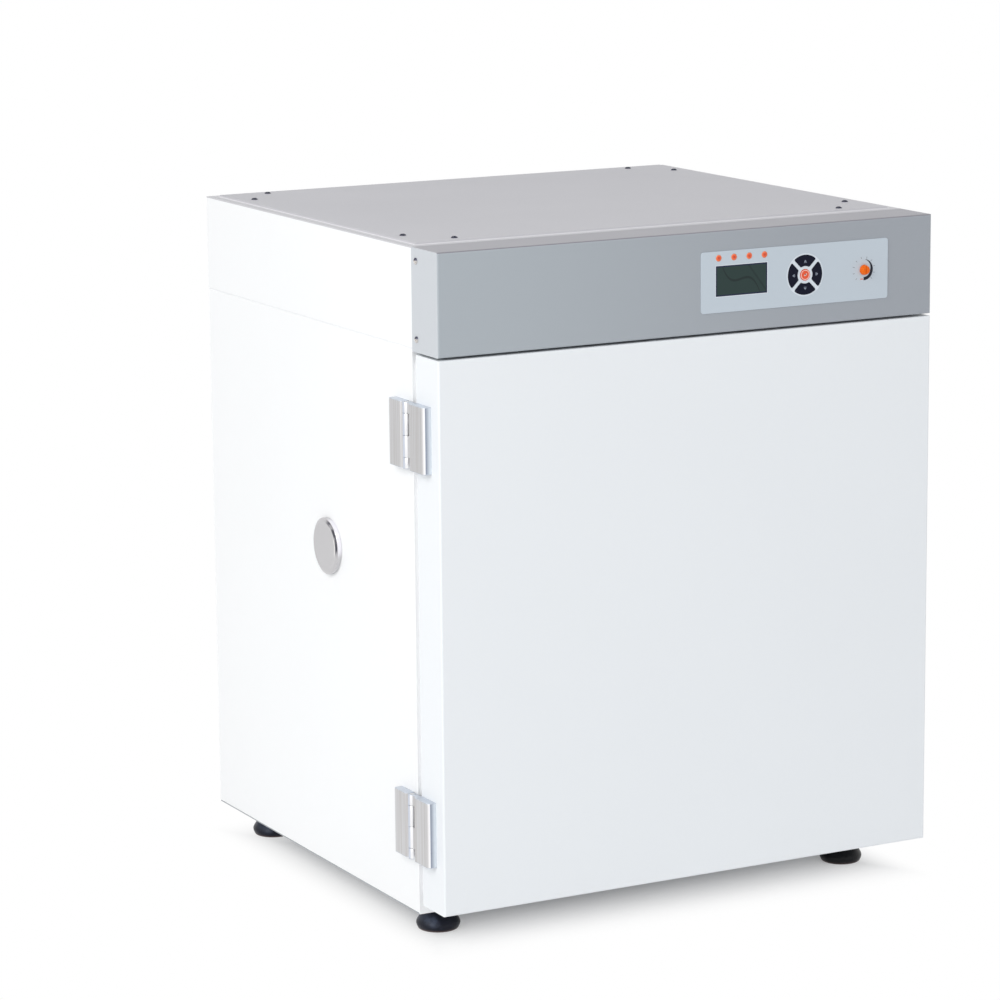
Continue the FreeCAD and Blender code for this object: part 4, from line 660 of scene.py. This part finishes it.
def board_material():
    """Green laminate with paler tracks in a square pattern."""
    tree = Finish("circuit_board", Coat_Weight=0.4, Coat_Roughness=0.2)
    brick = tree.node("ShaderNodeTexBrick", Vector=tree.scaled(tree.where, (300, 300, 300)), Mortar_Size=0.03,
                      Color1=srgb(22, 92, 52), Color2=srgb(30, 110, 62), Mortar=srgb(70, 140, 90))
    tree.colour(brick.outputs[0])
    tree.gloss(tree.noise(tree.where, 200.0), 0.15, 0.35)


def make_materials():
    """Every finish of the record's slots, and those of the printed marks."""
    make_effects()
    paint("enamel_white", srgb(246, 247, 248), 0.45)
    paint("enamel_door", srgb(238, 241, 244), 0.42)
    lid_material()
    fascia_material()
    paint("seam_shadow", srgb(238, 239, 241), 0.6)
    paint("motor_grey", srgb(112, 116, 120), 0.5)
    metal("liner_steel", srgb(200, 200, 198), 0.34, (1500, 1500, 30))
    metal("bright_steel", srgb(215, 214, 212), 0.2, (900, 60, 900), 0.15)
    hinge_material()
    metal("heater_sheath", srgb(120, 108, 98), 0.5, (500, 500, 500), 0.3, 0.00003, 0.15)
    metal("galvanised", srgb(176, 180, 184), 0.42, (120, 120, 120), 0.35, 0.00003, 0.12)
    metal("zinc", srgb(190, 188, 176), 0.35, (700, 700, 700))
    metal("wheel_aluminium", srgb(196, 198, 202), 0.38, (300, 300, 300))
    screw_material()
    plastic("dark_plastic", srgb(52, 52, 56), 0.5)
    plastic("black_plastic", srgb(30, 30, 33), 0.45)
    plastic("pull_plastic", srgb(96, 99, 104), 0.5)
    foot_material()
    plastic("seal_rubber", srgb(222, 220, 216), 0.55)
    plastic("gasket_silicone", srgb(240, 241, 243), 0.55)
    plastic("key_dark", srgb(10, 13, 34), 0.55, 3500.0, 0.00002, Specular_IOR_Level=0.15)
    plastic("key_select", srgb(230, 84, 44), 0.4, 3500.0, 0.00002)
    plastic("knob_orange", srgb(236, 104, 0), 0.45, 3000.0, 0.00001, Specular_IOR_Level=0.25)
    plastic("print_pale", srgb(140, 148, 164), 0.45, 3500.0, 0.00001)
    plastic("print_white", srgb(252, 236, 226), 0.45, 3500.0, 0.00001)
    plastic("print_dark", srgb(16, 20, 36), 0.5, 3500.0, 0.00001, Specular_IOR_Level=0.3)
    plastic("print_orange", srgb(226, 112, 70), 0.45, 3500.0, 0.00001)
    overlay_material()
    display_material()
    cap_material()
    glass_material()
    wool_material()
    lamp_material()
    board_material()


# ---------------------------------------------------------------- pieces
SOFT_EDGED = ("lower_left_panel", "lower_right_panel", "lower_back_panel", "upper_left_panel",
              "upper_right_panel", "hinge_cabinet_leaves", "hinge_door_leaves", "door_pull", "power_inlet",
              "switch_housing", "control_overlay", "up_key", "down_key", "left_key", "right_key",
              "select_key")


def make_finishes(bevel):
    """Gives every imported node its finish, and folded or moulded ones a slightly soft edge."""
    make_materials()
    for entry in frame["record"]["subparts"]:
        item = frame["nodes"][entry["node"]]
        for holder in item.material_slots:
            holder.link = "OBJECT"
            holder.material = FINISHES[entry["material_slot"]]
    for node in SOFT_EDGED:
        item = frame["nodes"][node]
        weld = item.modifiers.new("weld", "WELD")
        weld.merge_threshold = 0.002 * MM
        edge = item.modifiers.new("edge", "BEVEL")
        edge.width = bevel
        edge.segments = 3
        edge.limit_method = "ANGLE"
        edge.angle_limit = math.radians(40)
        edge.harden_normals = True


def dome(radius, height, angles, power=1.0):
    """Profile of a dome: R cos a across and H sin(a) to the power up, for each angle a."""
    return np.column_stack([radius * np.cos(angles), height * np.sin(angles) ** power])


def screw_head(radius, height):
    """Dome head with a cross recess: the height is H sin(a)^0.8 where the radius is R cos a, less a
    recess whose depth falls smoothly to zero outside the two crossed bars."""
    profile = np.concatenate([[[0, 0], [radius * 0.5, 0], [radius, 0]],
                              dome(radius, height, np.linspace(0.12, 1.5, 22), 0.8), [[0, height]]])
    points, faces = lathe(profile, 48)
    x, y = np.abs(points[:, 0]) / radius, np.abs(points[:, 1]) / radius
    arm_x = np.clip(1 - np.maximum(y / 0.13, x / 0.6), 0, 1)
    arm_y = np.clip(1 - np.maximum(x / 0.13, y / 0.6), 0, 1)
    cut = np.clip(np.maximum(arm_x, arm_y) * 3, 0, 1) * height * 0.55
    points[:, 2] -= np.where(points[:, 2] > height * 0.3, cut, 0)
    return points, faces


def make_screws(radius_share):
    """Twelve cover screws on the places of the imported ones, on the lid and on the fascia's ends."""
    mesh = frame["nodes"]["cover_screws"].data
    packed = np.empty(len(mesh.vertices) * 3, np.float32)
    mesh.vertices.foreach_get("co", packed)
    packed = packed.reshape(-1, 3).astype(float)
    lid, end, near = span("top_lid")[1][2], span("control_fascia")[1][0], 0.05 * MM
    points, faces = screw_head(SCREW_RADIUS * radius_share, SCREW_HEIGHT)
    on_lid = packed[(packed[:, 2] >= lid - near) & (np.abs(packed[:, 0]) < end - 5 * MM)]
    heads = [(turned_to(points, (0, 0, 1), (x, y, lid)), faces) for x, y in clusters(on_lid[:, :2], 12 * MM)]
    for sign in (-1, 1):
        side = packed[packed[:, 0] * sign > end - near]
        heads += [(turned_to(points, (sign, 0, 0), (sign * end, y, z)), faces)
                  for y, z in clusters(side[:, 1:], 12 * MM)]
    add_piece("cover_screw_heads", joined(heads), "cabinet", "screw_heads", replaced=("cover_screws",))


def clusters(points, reach):
    """Middles of the groups of points that lie within the reach of each other."""
    left = np.ones(len(points), bool)
    centres = []
    while left.any():
        first = points[left][0]
        near = np.linalg.norm(points - first, axis=1) < reach
        group = points[near & left]
        centres.append((group.min(0) + group.max(0)) / 2)
        left &= ~near
    return centres


def make_port_cap(roll):
    """Polished cap: flat face, rolled rim and a plug skirt, turned about the port's axis."""
    low, high = span("port_cap")
    centre, panel = middle("port_cap"), span("lower_left_panel")[0][0]
    radius, face, skirt = (high[1] - low[1]) / 2, panel - low[0], high[0] - panel
    seat, floor, wall = 0.3 * MM, 1.5 * MM, 1.4 * MM
    plug, dished = radius - 6.3 * MM, face - 0.35 * MM
    corners = [(0, 2 * MM - skirt), (plug - 3 * MM, 2 * MM - skirt), (plug - 3 * MM, -skirt),
               (plug, -skirt), (plug, floor), (radius - wall, floor), (radius - wall, seat), (radius, seat),
               (radius, face - roll * 0.4), (radius - roll, face), (radius - 2 * roll, dished), (0, dished)]
    softness = np.array([0.4, 0.4, 0.5, 0.5, 0.3, 0.3, 0.3, 0.3, 2.4, 1.6]) * MM
    points, faces = lathe(rounded(corners, softness, 8), 128)
    add_piece("access_port_cap", (turned_to(points, (-1, 0, 0), (panel, centre[1], centre[2])), faces),
              "port_cap", "cap_polished", replaced=("port_cap",))


def make_feet(ribs):
    """Four rubber feet: a flared base with a rounded rim, fine ribs round it and a neck under the pan."""
    softness = np.array([0.5, 0.5, 1.5, 2.5, 2.5, 3, 4, 2, 0.6, 0.4, 0.8]) * MM
    for corner in ("front_left", "front_right", "back_left", "back_right"):
        node = f"foot_{corner}"
        low, high = span(node)
        r, top, seat = (high[0] - low[0]) / 2, high[2], high[2] - FOOT_SEAT
        corners = [(0, 0.6 * MM), (r * 0.6, 0.6 * MM), (r * 0.66, 0), (r * 0.9, 0), (r, 5 * MM), (r, 8 * MM),
                   (r * 0.86, 13.5 * MM), (r * 0.55, 22 * MM), (FOOT_NECK, seat - 3 * MM), (FOOT_NECK, seat),
                   (FOOT_STUD, seat), (FOOT_STUD, top), (0, top)]
        points, faces = lathe(rounded(corners, softness, 7), 144)
        height, radius = points[:, 2], np.linalg.norm(points[:, :2], axis=1)
        around = np.arctan2(points[:, 1], points[:, 0])
        ribbed = np.clip(1 - np.abs(height - 7 * MM) / (6 * MM), 0, 1) * (radius > r * 0.8)
        points[:, :2] *= (1 - ribbed * 0.012 * (0.5 + 0.5 * np.cos(around * ribs)))[:, None]
        points[:, :2] += middle(node)[:2]
        add_piece(f"levelling_foot_{corner}", (points, faces), node, "foot_rubber", replaced=(node,))


def make_lenses(rise):
    """Four indicator lenses: a short cylinder with a low dome in front."""
    low, high = span("indicator_lenses")
    radius, depth = (high[2] - low[2]) / 2, high[1] - low[1]
    front = dome(radius, rise, np.linspace(0.1, math.pi / 2, 10)[:-1]) + (0, depth - rise)
    profile = np.concatenate([[[0, 0], [radius * 0.99, 0], [radius, 0.2 * MM], [radius, depth - rise]],
                              front, [[0, depth]]])
    points, faces = lathe(profile, 48)
    height = middle("indicator_lenses")[2]
    lenses = [(turned_to(points, (0, -1, 0), (x, high[1], height)), faces)
              for x in np.linspace(low[0] + radius, high[0] - radius, LENSES)]
    add_piece("indicator_lamps", joined(lenses), "cabinet", "lamp_lens", replaced=("indicator_lenses",))


def on_panel(points, x, y, z):
    """Carries points drawn as (across, up, out) to the panel's front."""
    points = np.asarray(points)
    return np.column_stack([x + points[:, 0], y - points[:, 2], z + points[:, 1]])


def panel_plate(outline, x, y, z):
    """A printed mark: a closed plate that stands a little out of the panel."""
    points, faces = prism_plate(outline, SUNK, PROUD)
    return on_panel(points, x, y, z), faces


def bar(left, low, right, high):
    """Outline of an upright rectangle."""
    return np.array([(left, low), (right, low), (right, high), (left, high)])


def spin(angle):
    """Turns rows of points anticlockwise by the angle."""
    return np.array([[math.cos(angle), math.sin(angle)], [-math.sin(angle), math.cos(angle)]])


def make_key_marks(size):
    """Pale arrow marks on the four sector keys and the mark on the select key."""
    half = size / 2
    arrow = np.array([(-half, -half * 0.5), (half, -half * 0.5), (0, half * 0.7)])
    foot = bar(-half, -half * 1.15, half, -half * 0.85)
    for index, name in enumerate(("up", "left", "down", "right")):
        centre, front = middle(f"{name}_key"), span(f"{name}_key")[0][1]
        turn = spin(math.radians(90 * index))
        marks = [panel_plate(shape @ turn, centre[0], front, centre[2]) for shape in (arrow, foot)]
        add_piece(f"{name}_key_mark", joined(marks), f"key_{name}", "key_dark", "print_pale", smooth=False)
    centre, front = middle("select_key"), span("select_key")[0][1]
    hook = np.array([(-1.6, -0.35), (-0.3, -1.45), (-0.3, -0.75), (1.0, -0.75), (1.0, 1.3), (1.7, 1.3),
                     (1.7, -0.05), (-0.3, -0.05), (-0.3, 0.75)]) * MM * 1.1
    points, faces = ring_plate(4.7 * MM, 5.2 * MM, 0, 2 * math.pi, 64, True)
    marks = [(on_panel(points, centre[0], front, centre[2]), faces),
             panel_plate(hook, centre[0], front, centre[2])]
    add_piece("select_key_mark", joined(marks), "key_select", "key_select", "print_white", smooth=False)


def ring_plate(inner, outer, start, end, count, closed=False, grow=1.0):
    """Flat band between two radii from one angle to another; its inner radius moves from
    inner + (1 - grow)(outer - inner) at the start to inner half way, and stays there."""
    angle = np.linspace(start, end, count, endpoint=not closed)
    share = np.minimum(np.linspace(0, 2, count), 1)
    near = outer - (outer - inner) * (grow + (1 - grow) * share)
    far = outer + 0 * near
    section = [(near, SUNK), (far, SUNK), (far, PROUD), (near, PROUD)]
    rows = np.stack([np.column_stack([r * np.cos(angle), r * np.sin(angle), np.full(count, z)])
                     for r, z in section], 1)
    faces = [quads(count, 4, close_rows=closed)]
    if not closed:
        faces += [np.array([[0, 1, 2, 3]]), np.array([[3, 2, 1, 0]]) + (count - 1) * 4]
    points = rows.reshape(-1, 3)
    return points, [face[:, ::-1] for face in faces] if end > start else faces


def make_dial(ticks):
    """The limiter's printed scale: an arc that thickens clockwise, fine ticks and one orange mark."""
    knob, front = middle("limit_knob"), span("control_overlay")[0][1]
    points, faces = ring_plate(7.9 * MM, 11.4 * MM, math.radians(80), math.radians(-92), 72, grow=0.1)
    marks = [(on_panel(points, knob[0], front, knob[2]), faces)]
    tick = bar(-1.1, -0.16, 1.1, 0.16) * MM
    for angle in np.radians(np.linspace(225, -45, ticks)):
        spot = np.array([math.cos(angle), math.sin(angle)]) * 13.4 * MM
        marks.append(panel_plate(tick @ spin(angle) + spot, knob[0], front, knob[2]))
    add_piece("dial_scale", joined(marks), "cabinet", "overlay_film", "print_dark", smooth=False)
    stop = bar(-2.4, -0.5, 1.0, 0.5) * MM + np.array([-2.0, -9.9]) * MM
    add_piece("dial_stop", panel_plate(stop, knob[0], front, knob[2]), "cabinet", "overlay_film",
              "print_orange", smooth=False)


def make_knob(flutes):
    """Orange dial knob: a fluted side, a soft front edge and a screwdriver slot across its face."""
    low, high = span("limit_knob")
    centre = middle("limit_knob")
    radius, length = (high[0] - low[0]) / 2, high[1] - low[1]
    head = length - KNOB_HEAD
    corners = [(0, 0), (KNOB_SHAFT, 0), (KNOB_SHAFT, head), (radius, head),
               (radius - 0.8 * MM, length - 0.9 * MM), (radius - 1.6 * MM, length),
               (radius * 0.45, length), (0, length)]
    profile = rounded(corners, np.array([0.3, 0.3, 0.3, 0.7, 0.7, 0.4]) * MM, 6)
    rings = np.linspace(radius * 0.6, 0.2 * MM, 14)
    rings = rings[rings < profile[-2, 0]]
    face = np.column_stack([rings, np.full(len(rings), length)])
    points, faces = lathe(np.concatenate([profile[:-1], face, profile[-1:]]), 96)
    around = np.arctan2(points[:, 1], points[:, 0])
    rim = (points[:, 2] > head + 0.2 * MM) & (np.linalg.norm(points[:, :2], axis=1) > radius * 0.8)
    points[:, :2] *= np.where(rim, 1 - 0.035 * (0.5 - 0.5 * np.cos(around * flutes)), 1)[:, None]
    across, along = np.abs(points[:, 0]) / (0.8 * MM), (radius * 0.75 - np.abs(points[:, 1])) / MM
    slot = np.clip(np.clip(1 - across, 0, 1) * np.clip(along, 0, 1) * 2, 0, 1) * 0.9 * MM
    points[:, 2] -= np.where(points[:, 2] > length - 0.2 * MM, slot, 0)
    add_piece("dial_knob", (turned_to(points, (0, -1, 0), (centre[0], high[1], centre[2])), faces),
              "limit_knob", "knob_orange", replaced=("limit_knob",))


def rods(starts, ends, radius, sides, rings=4):
    """Straight rods with round ends: circles of the radius along each line, closing as a quarter
    turn does at both ends."""
    rise = np.linspace(0, math.pi / 2, rings + 1)[1:]
    across, up = radius * np.sin(rise), radius * (1 - np.cos(rise))
    parts = []
    for start, end in zip(np.asarray(starts, float), np.asarray(ends, float)):
        length = np.linalg.norm(end - start)
        profile = np.concatenate([[[0, 0]], np.column_stack([across, up]),
                                  np.column_stack([across[::-1], length - up[::-1]]), [[0, length]]])
        points, faces = lathe(profile, sides)
        parts.append((turned_to(points, (end - start) / length, start), faces))
    return joined(parts)


def make_shelves(wires):
    """Two wire shelves: a frame of four rods and cross wires seated on it."""
    r, w = SHELF_ROD, SHELF_WIRE
    for level in ("lower", "upper"):
        node = f"{level}_shelf"
        low, high = span(node)
        z, left, right, near, far = low[2] + r, low[0] + r, high[0] - r, low[1] + r, high[1] - r
        outer = rods([(left, low[1], z), (right, low[1], z), (left, near, z), (left, far, z)],
                     [(left, high[1], z), (right, high[1], z), (right, near, z), (right, far, z)], r, 20)
        x = left + (right - left) * np.arange(1, wires + 1) / (wires + 1)
        start, end = [np.column_stack([x, np.full(wires, y), np.full(wires, high[2] - w)])
                      for y in (low[1] + r / 2, high[1] - r / 2)]
        add_piece(f"{level}_wire_shelf", joined([outer, rods(start, end, w, 12)]), node, "bright_steel",
                  replaced=(node,))


def make_gasket(bellows):
    """Door gasket: a bellows section carried round a rectangle with round corners. Across the section
    a point goes along the corner's radius up to its centre, and square to the sides beyond it."""
    low, high = span("door_gasket")
    wide, fold, depth, knee = GASKET_WIDTH, bellows, high[1] - low[1], GASKET_CORNER - 0.4 * MM
    arc = np.linspace(0, math.pi / 2, 9)
    path = np.concatenate([
        np.column_stack([np.full(9, (high[0] if sx > 0 else low[0]) - sx * GASKET_CORNER),
                         np.full(9, (high[2] if sz > 0 else low[2]) - sz * GASKET_CORNER),
                         np.cos(arc + index * math.pi / 2), np.sin(arc + index * math.pi / 2)])
        for index, (sx, sz) in enumerate(((1, 1), (-1, 1), (-1, -1), (1, -1)))])
    outline = np.array([(0, 0), (0, depth * 0.28), (fold, depth * 0.4), (fold, depth * 0.52),
                        (0, depth * 0.64), (0, depth), (wide * 0.5, depth * 0.94), (wide, depth),
                        (wide, depth * 0.64), (wide - fold, depth * 0.52), (wide - fold, depth * 0.4),
                        (wide, depth * 0.28), (wide, 0)])
    inset = np.minimum(outline[:, 0], knee)[None, :]
    extra, reach = outline[None, :, 0] - inset, GASKET_CORNER - inset
    z_middle = (low[2] + high[2]) / 2
    x = path[:, 0:1] + path[:, 2:3] * reach - np.sign(path[:, 0:1]) * extra
    z = path[:, 1:2] + path[:, 3:4] * reach - np.sign(path[:, 1:2] - z_middle) * extra
    y = np.broadcast_to(low[1] + outline[None, :, 1], x.shape)
    points = np.stack([x, y, z], -1)
    rows, columns = points.shape[:2]
    item = add_piece("door_bellows_gasket", (points.reshape(-1, 3), [quads(rows, columns, True)]), "door",
                     "gasket_silicone", replaced=("door_gasket",))
    sharpen(item, 50)


def seen_directly(tree):
    """1 for what the camera sees, straight on or through metal and glass, and 0 for the light on things."""
    path = tree.node("ShaderNodeLightPath").outputs
    mirrored = tree.math("ADD", path["Is Glossy Ray"], path["Is Transmission Ray"])
    return tree.math("ADD", path["Is Camera Ray"], mirrored, clamp=True)


def make_studio(key, fill, world_level, near_glow, reach):
    """Pale floor that turns even white away from the part, soft lamps, white surround and the camera."""
    scene = bpy.context.scene
    scene.view_settings.view_transform = "Standard"
    lines = np.linspace(-FLOOR_HALF, FLOOR_HALF, 5)
    x, y = np.meshgrid(lines, lines)
    points = np.stack([x, y, 0 * x - FLOOR_DROP], -1).reshape(-1, 3)
    floor = mesh_object("studio_floor", points, [quads(5, 5, close_columns=False)])
    tree = Finish("studio_floor", Specular_IOR_Level=0.1, Roughness=0.8)
    tree.colour(tree.mottled((0.96, 0.96, 0.965, 1), 0.002, 2.0))
    x, y, _ = tree.axes()
    over = [tree.times(tree.minus(tree.math("ABSOLUTE", side), half), steepness)
            for side, half, steepness in ((x, CAD_BOX[1][0], 1.9), (y, CAD_BOX[1][1] - 0.02, 1.0))]
    outside = [tree.math("MAXIMUM", side, 0.0) for side in over]
    squares = [tree.times(side, side) for side in outside]
    inside = tree.math("MINIMUM", tree.math("MAXIMUM", *over), 0.0)
    distance = tree.math("ADD", tree.math("SQRT", tree.math("ADD", *squares)), inside)
    glow_share = tree.smooth(distance, -4 * reach, reach, near_glow, 1.0)
    share = tree.times(glow_share, seen_directly(tree))
    glow = tree.node("ShaderNodeEmission", Color=(1, 1, 1, 1), Strength=1.0)
    tree.feed(tree.output.inputs["Surface"], tree.blend(share, tree.shader.outputs[0], glow.outputs[0]))
    floor.data.materials.append(FINISHES["studio_floor"])

    world = bpy.data.worlds.new("studio")
    scene.world = world
    world.use_nodes = True
    world.node_tree.nodes.clear()
    tree = Tree(world.node_tree)
    lighting = tree.node("ShaderNodeBackground", Color=(0.97, 0.985, 1.0, 1), Strength=world_level)
    seen = tree.node("ShaderNodeBackground", Color=(1, 1, 1, 1), Strength=1.0)
    mixed = tree.blend(seen_directly(tree), lighting.outputs[0], seen.outputs[0])
    tree.feed(tree.node("ShaderNodeOutputWorld").inputs[0], mixed)

    for name, place, size_x, size_y, power, tint in (
            ("key_lamp", (-3.2, -1.6, 2.4), 2.4, 2.4, key, (1.0, 0.99, 0.97)),
            ("fill_lamp", (1.2, -3.6, 2.2), 2.6, 2.0, fill, (0.95, 0.97, 1.0))):
        light = bpy.data.lights.new(name, "AREA")
        light.shape = "RECTANGLE"
        light.size, light.size_y, light.energy, light.color = size_x, size_y, power, tint
        lamp = bpy.data.objects.new(name, light)
        scene.collection.objects.link(lamp)
        lamp.location = place
        lamp.rotation_euler = (LAMPS_AIM - Vector(place)).to_track_quat("-Z", "Y").to_euler()
    place_camera()


def place_camera():
    """Camera a little over four metres away, to the front left and slightly above."""
    data = bpy.data.cameras.new("view")
    data.lens, data.sensor_width, data.clip_end = 140.98, 36.0, 60.0
    camera = bpy.data.objects.new("view", data)
    bpy.context.scene.collection.objects.link(camera)
    yaw, pitch, roll = (math.radians(angle) for angle in CAMERA_ANGLES)
    forward = Vector((math.sin(yaw) * math.cos(pitch), math.cos(yaw) * math.cos(pitch), -math.sin(pitch)))
    right = Vector((math.cos(yaw), -math.sin(yaw), 0))
    up = right.cross(forward)
    level, tilt = math.cos(roll), math.sin(roll)
    side = right * level + up * tilt
    upward = up * level - right * tilt
    turn = Matrix((side, upward, -forward)).transposed()
    camera.matrix_world = Matrix.Translation(CAMERA_PLACE) @ turn.to_4x4()
    bpy.context.scene.camera = camera


# ---------------------------------------------------------------- add-on
class INCUBATOR_PG_settings(bpy.types.PropertyGroup):
    """What the panel's buttons take."""
    bevel: bpy.props.FloatProperty(name="Edge", description="Softness of folded and moulded edges",
                                   default=0.4 * MM, min=0.0, unit="LENGTH")
    screw_share: bpy.props.FloatProperty(name="Screw size", description="Screw heads against the packed ones",
                                         default=0.98, min=0.5, max=1.0, subtype="FACTOR")
    roll: bpy.props.FloatProperty(name="Cap rim", description="Width of the cap's rolled rim",
                                  default=3.2 * MM, min=0.0, unit="LENGTH")
    ribs: bpy.props.IntProperty(name="Foot ribs", description="Fine ribs round each foot", default=48, min=3)
    dome: bpy.props.FloatProperty(name="Lens dome", description="Rise of each indicator lens",
                                  default=0.6 * MM, min=0.0, unit="LENGTH")
    mark: bpy.props.FloatProperty(name="Key marks", description="Size of the marks on the keys",
                                  default=3.3 * MM, min=0.0, unit="LENGTH")
    ticks: bpy.props.IntProperty(name="Dial ticks", description="Ticks round the dial", default=10, min=2)
    flutes: bpy.props.IntProperty(name="Knob flutes", description="Flutes round the knob", default=24, min=3)
    wires: bpy.props.IntProperty(name="Shelf wires", description="Cross wires of each shelf",
                                 default=15, min=1)
    bellows: bpy.props.FloatProperty(name="Bellows", description="Depth of the gasket's fold",
                                     default=2.0 * MM, min=0.0, unit="LENGTH")
    key: bpy.props.FloatProperty(name="Key lamp", description="Power of the lamp on the left", default=75.0,
                                 min=0.0, unit="POWER")
    fill: bpy.props.FloatProperty(name="Fill lamp", description="Power of the lamp in front", default=12.0,
                                  min=0.0, unit="POWER")
    world_level: bpy.props.FloatProperty(name="Surround", description="Level of the light all round",
                                         default=0.62, min=0.0)
    near_glow: bpy.props.FloatProperty(name="Floor glow",
                                       description="Share of even white in the floor near the part",
                                       default=0.08, min=0.0, max=1.0, subtype="FACTOR")
    reach: bpy.props.FloatProperty(name="Shadow reach",
                                   description="Distance at which the floor is even white",
                                   default=0.036, min=0.01, unit="LENGTH")


class Step:
    """What every operator of this file shares."""
    bl_options = {"REGISTER", "UNDO"}

    def execute(self, context):
        settings = context.scene.incubator
        self.make(*[getattr(settings, name) for name in self.takes])
        return {"FINISHED"}


class INCUBATOR_OT_finishes(Step, bpy.types.Operator):
    """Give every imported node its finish"""
    bl_idname, bl_label = "incubator.finishes", "Finishes"
    make, takes = staticmethod(make_finishes), ("bevel",)


class INCUBATOR_OT_screws(Step, bpy.types.Operator):
    """Add the cover screws"""
    bl_idname, bl_label = "incubator.screws", "Cover screws"
    make, takes = staticmethod(make_screws), ("screw_share",)


class INCUBATOR_OT_port_cap(Step, bpy.types.Operator):
    """Add the polished cap of the access port"""
    bl_idname, bl_label = "incubator.port_cap", "Port cap"
    make, takes = staticmethod(make_port_cap), ("roll",)


class INCUBATOR_OT_feet(Step, bpy.types.Operator):
    """Add the four rubber feet"""
    bl_idname, bl_label = "incubator.feet", "Feet"
    make, takes = staticmethod(make_feet), ("ribs",)


class INCUBATOR_OT_lenses(Step, bpy.types.Operator):
    """Add the indicator lenses"""
    bl_idname, bl_label = "incubator.lenses", "Lenses"
    make, takes = staticmethod(make_lenses), ("dome",)


class INCUBATOR_OT_key_marks(Step, bpy.types.Operator):
    """Add the marks on the keys"""
    bl_idname, bl_label = "incubator.key_marks", "Key marks"
    make, takes = staticmethod(make_key_marks), ("mark",)


class INCUBATOR_OT_dial(Step, bpy.types.Operator):
    """Add the printed scale of the limiter"""
    bl_idname, bl_label = "incubator.dial", "Dial"
    make, takes = staticmethod(make_dial), ("ticks",)


class INCUBATOR_OT_knob(Step, bpy.types.Operator):
    """Add the limiter's knob"""
    bl_idname, bl_label = "incubator.knob", "Knob"
    make, takes = staticmethod(make_knob), ("flutes",)


class INCUBATOR_OT_shelves(Step, bpy.types.Operator):
    """Add the two wire shelves"""
    bl_idname, bl_label = "incubator.shelves", "Shelves"
    make, takes = staticmethod(make_shelves), ("wires",)


class INCUBATOR_OT_gasket(Step, bpy.types.Operator):
    """Add the door's gasket"""
    bl_idname, bl_label = "incubator.gasket", "Gasket"
    make, takes = staticmethod(make_gasket), ("bellows",)


class INCUBATOR_OT_studio(Step, bpy.types.Operator):
    """Add the floor, lamps, surround and camera"""
    bl_idname, bl_label = "incubator.studio", "Studio"
    make, takes = staticmethod(make_studio), ("key", "fill", "world_level", "near_glow", "reach")


STEPS = (INCUBATOR_OT_finishes, INCUBATOR_OT_screws, INCUBATOR_OT_port_cap, INCUBATOR_OT_feet,
         INCUBATOR_OT_lenses, INCUBATOR_OT_key_marks, INCUBATOR_OT_dial, INCUBATOR_OT_knob,
         INCUBATOR_OT_shelves, INCUBATOR_OT_gasket, INCUBATOR_OT_studio)


class INCUBATOR_PT_panel(bpy.types.Panel):
    """Buttons and settings in the 3D view's sidebar"""
    bl_idname, bl_label = "INCUBATOR_PT_panel", "Incubator"
    bl_space_type, bl_region_type, bl_category = "VIEW_3D", "UI", "Incubator"

    def draw(self, context):
        for step in STEPS:
            self.layout.operator(step.bl_idname)
            for name in step.takes:
                self.layout.prop(context.scene.incubator, name)


CLASSES = (INCUBATOR_PG_settings, *STEPS, INCUBATOR_PT_panel)


def register():
    for item in CLASSES:
        bpy.utils.register_class(item)
    bpy.types.Scene.incubator = bpy.props.PointerProperty(type=INCUBATOR_PG_settings)


def unregister():
    del bpy.types.Scene.incubator
    for item in reversed(CLASSES):
        bpy.utils.unregister_class(item)


def main():
    register()
    for step in STEPS:
        group, name = step.bl_idname.split(".")
        if getattr(getattr(bpy.ops, group), name)() != {"FINISHED"}:
            raise RuntimeError(f"{step.bl_idname} did not finish")


if __name__ == "__main__":
    main()
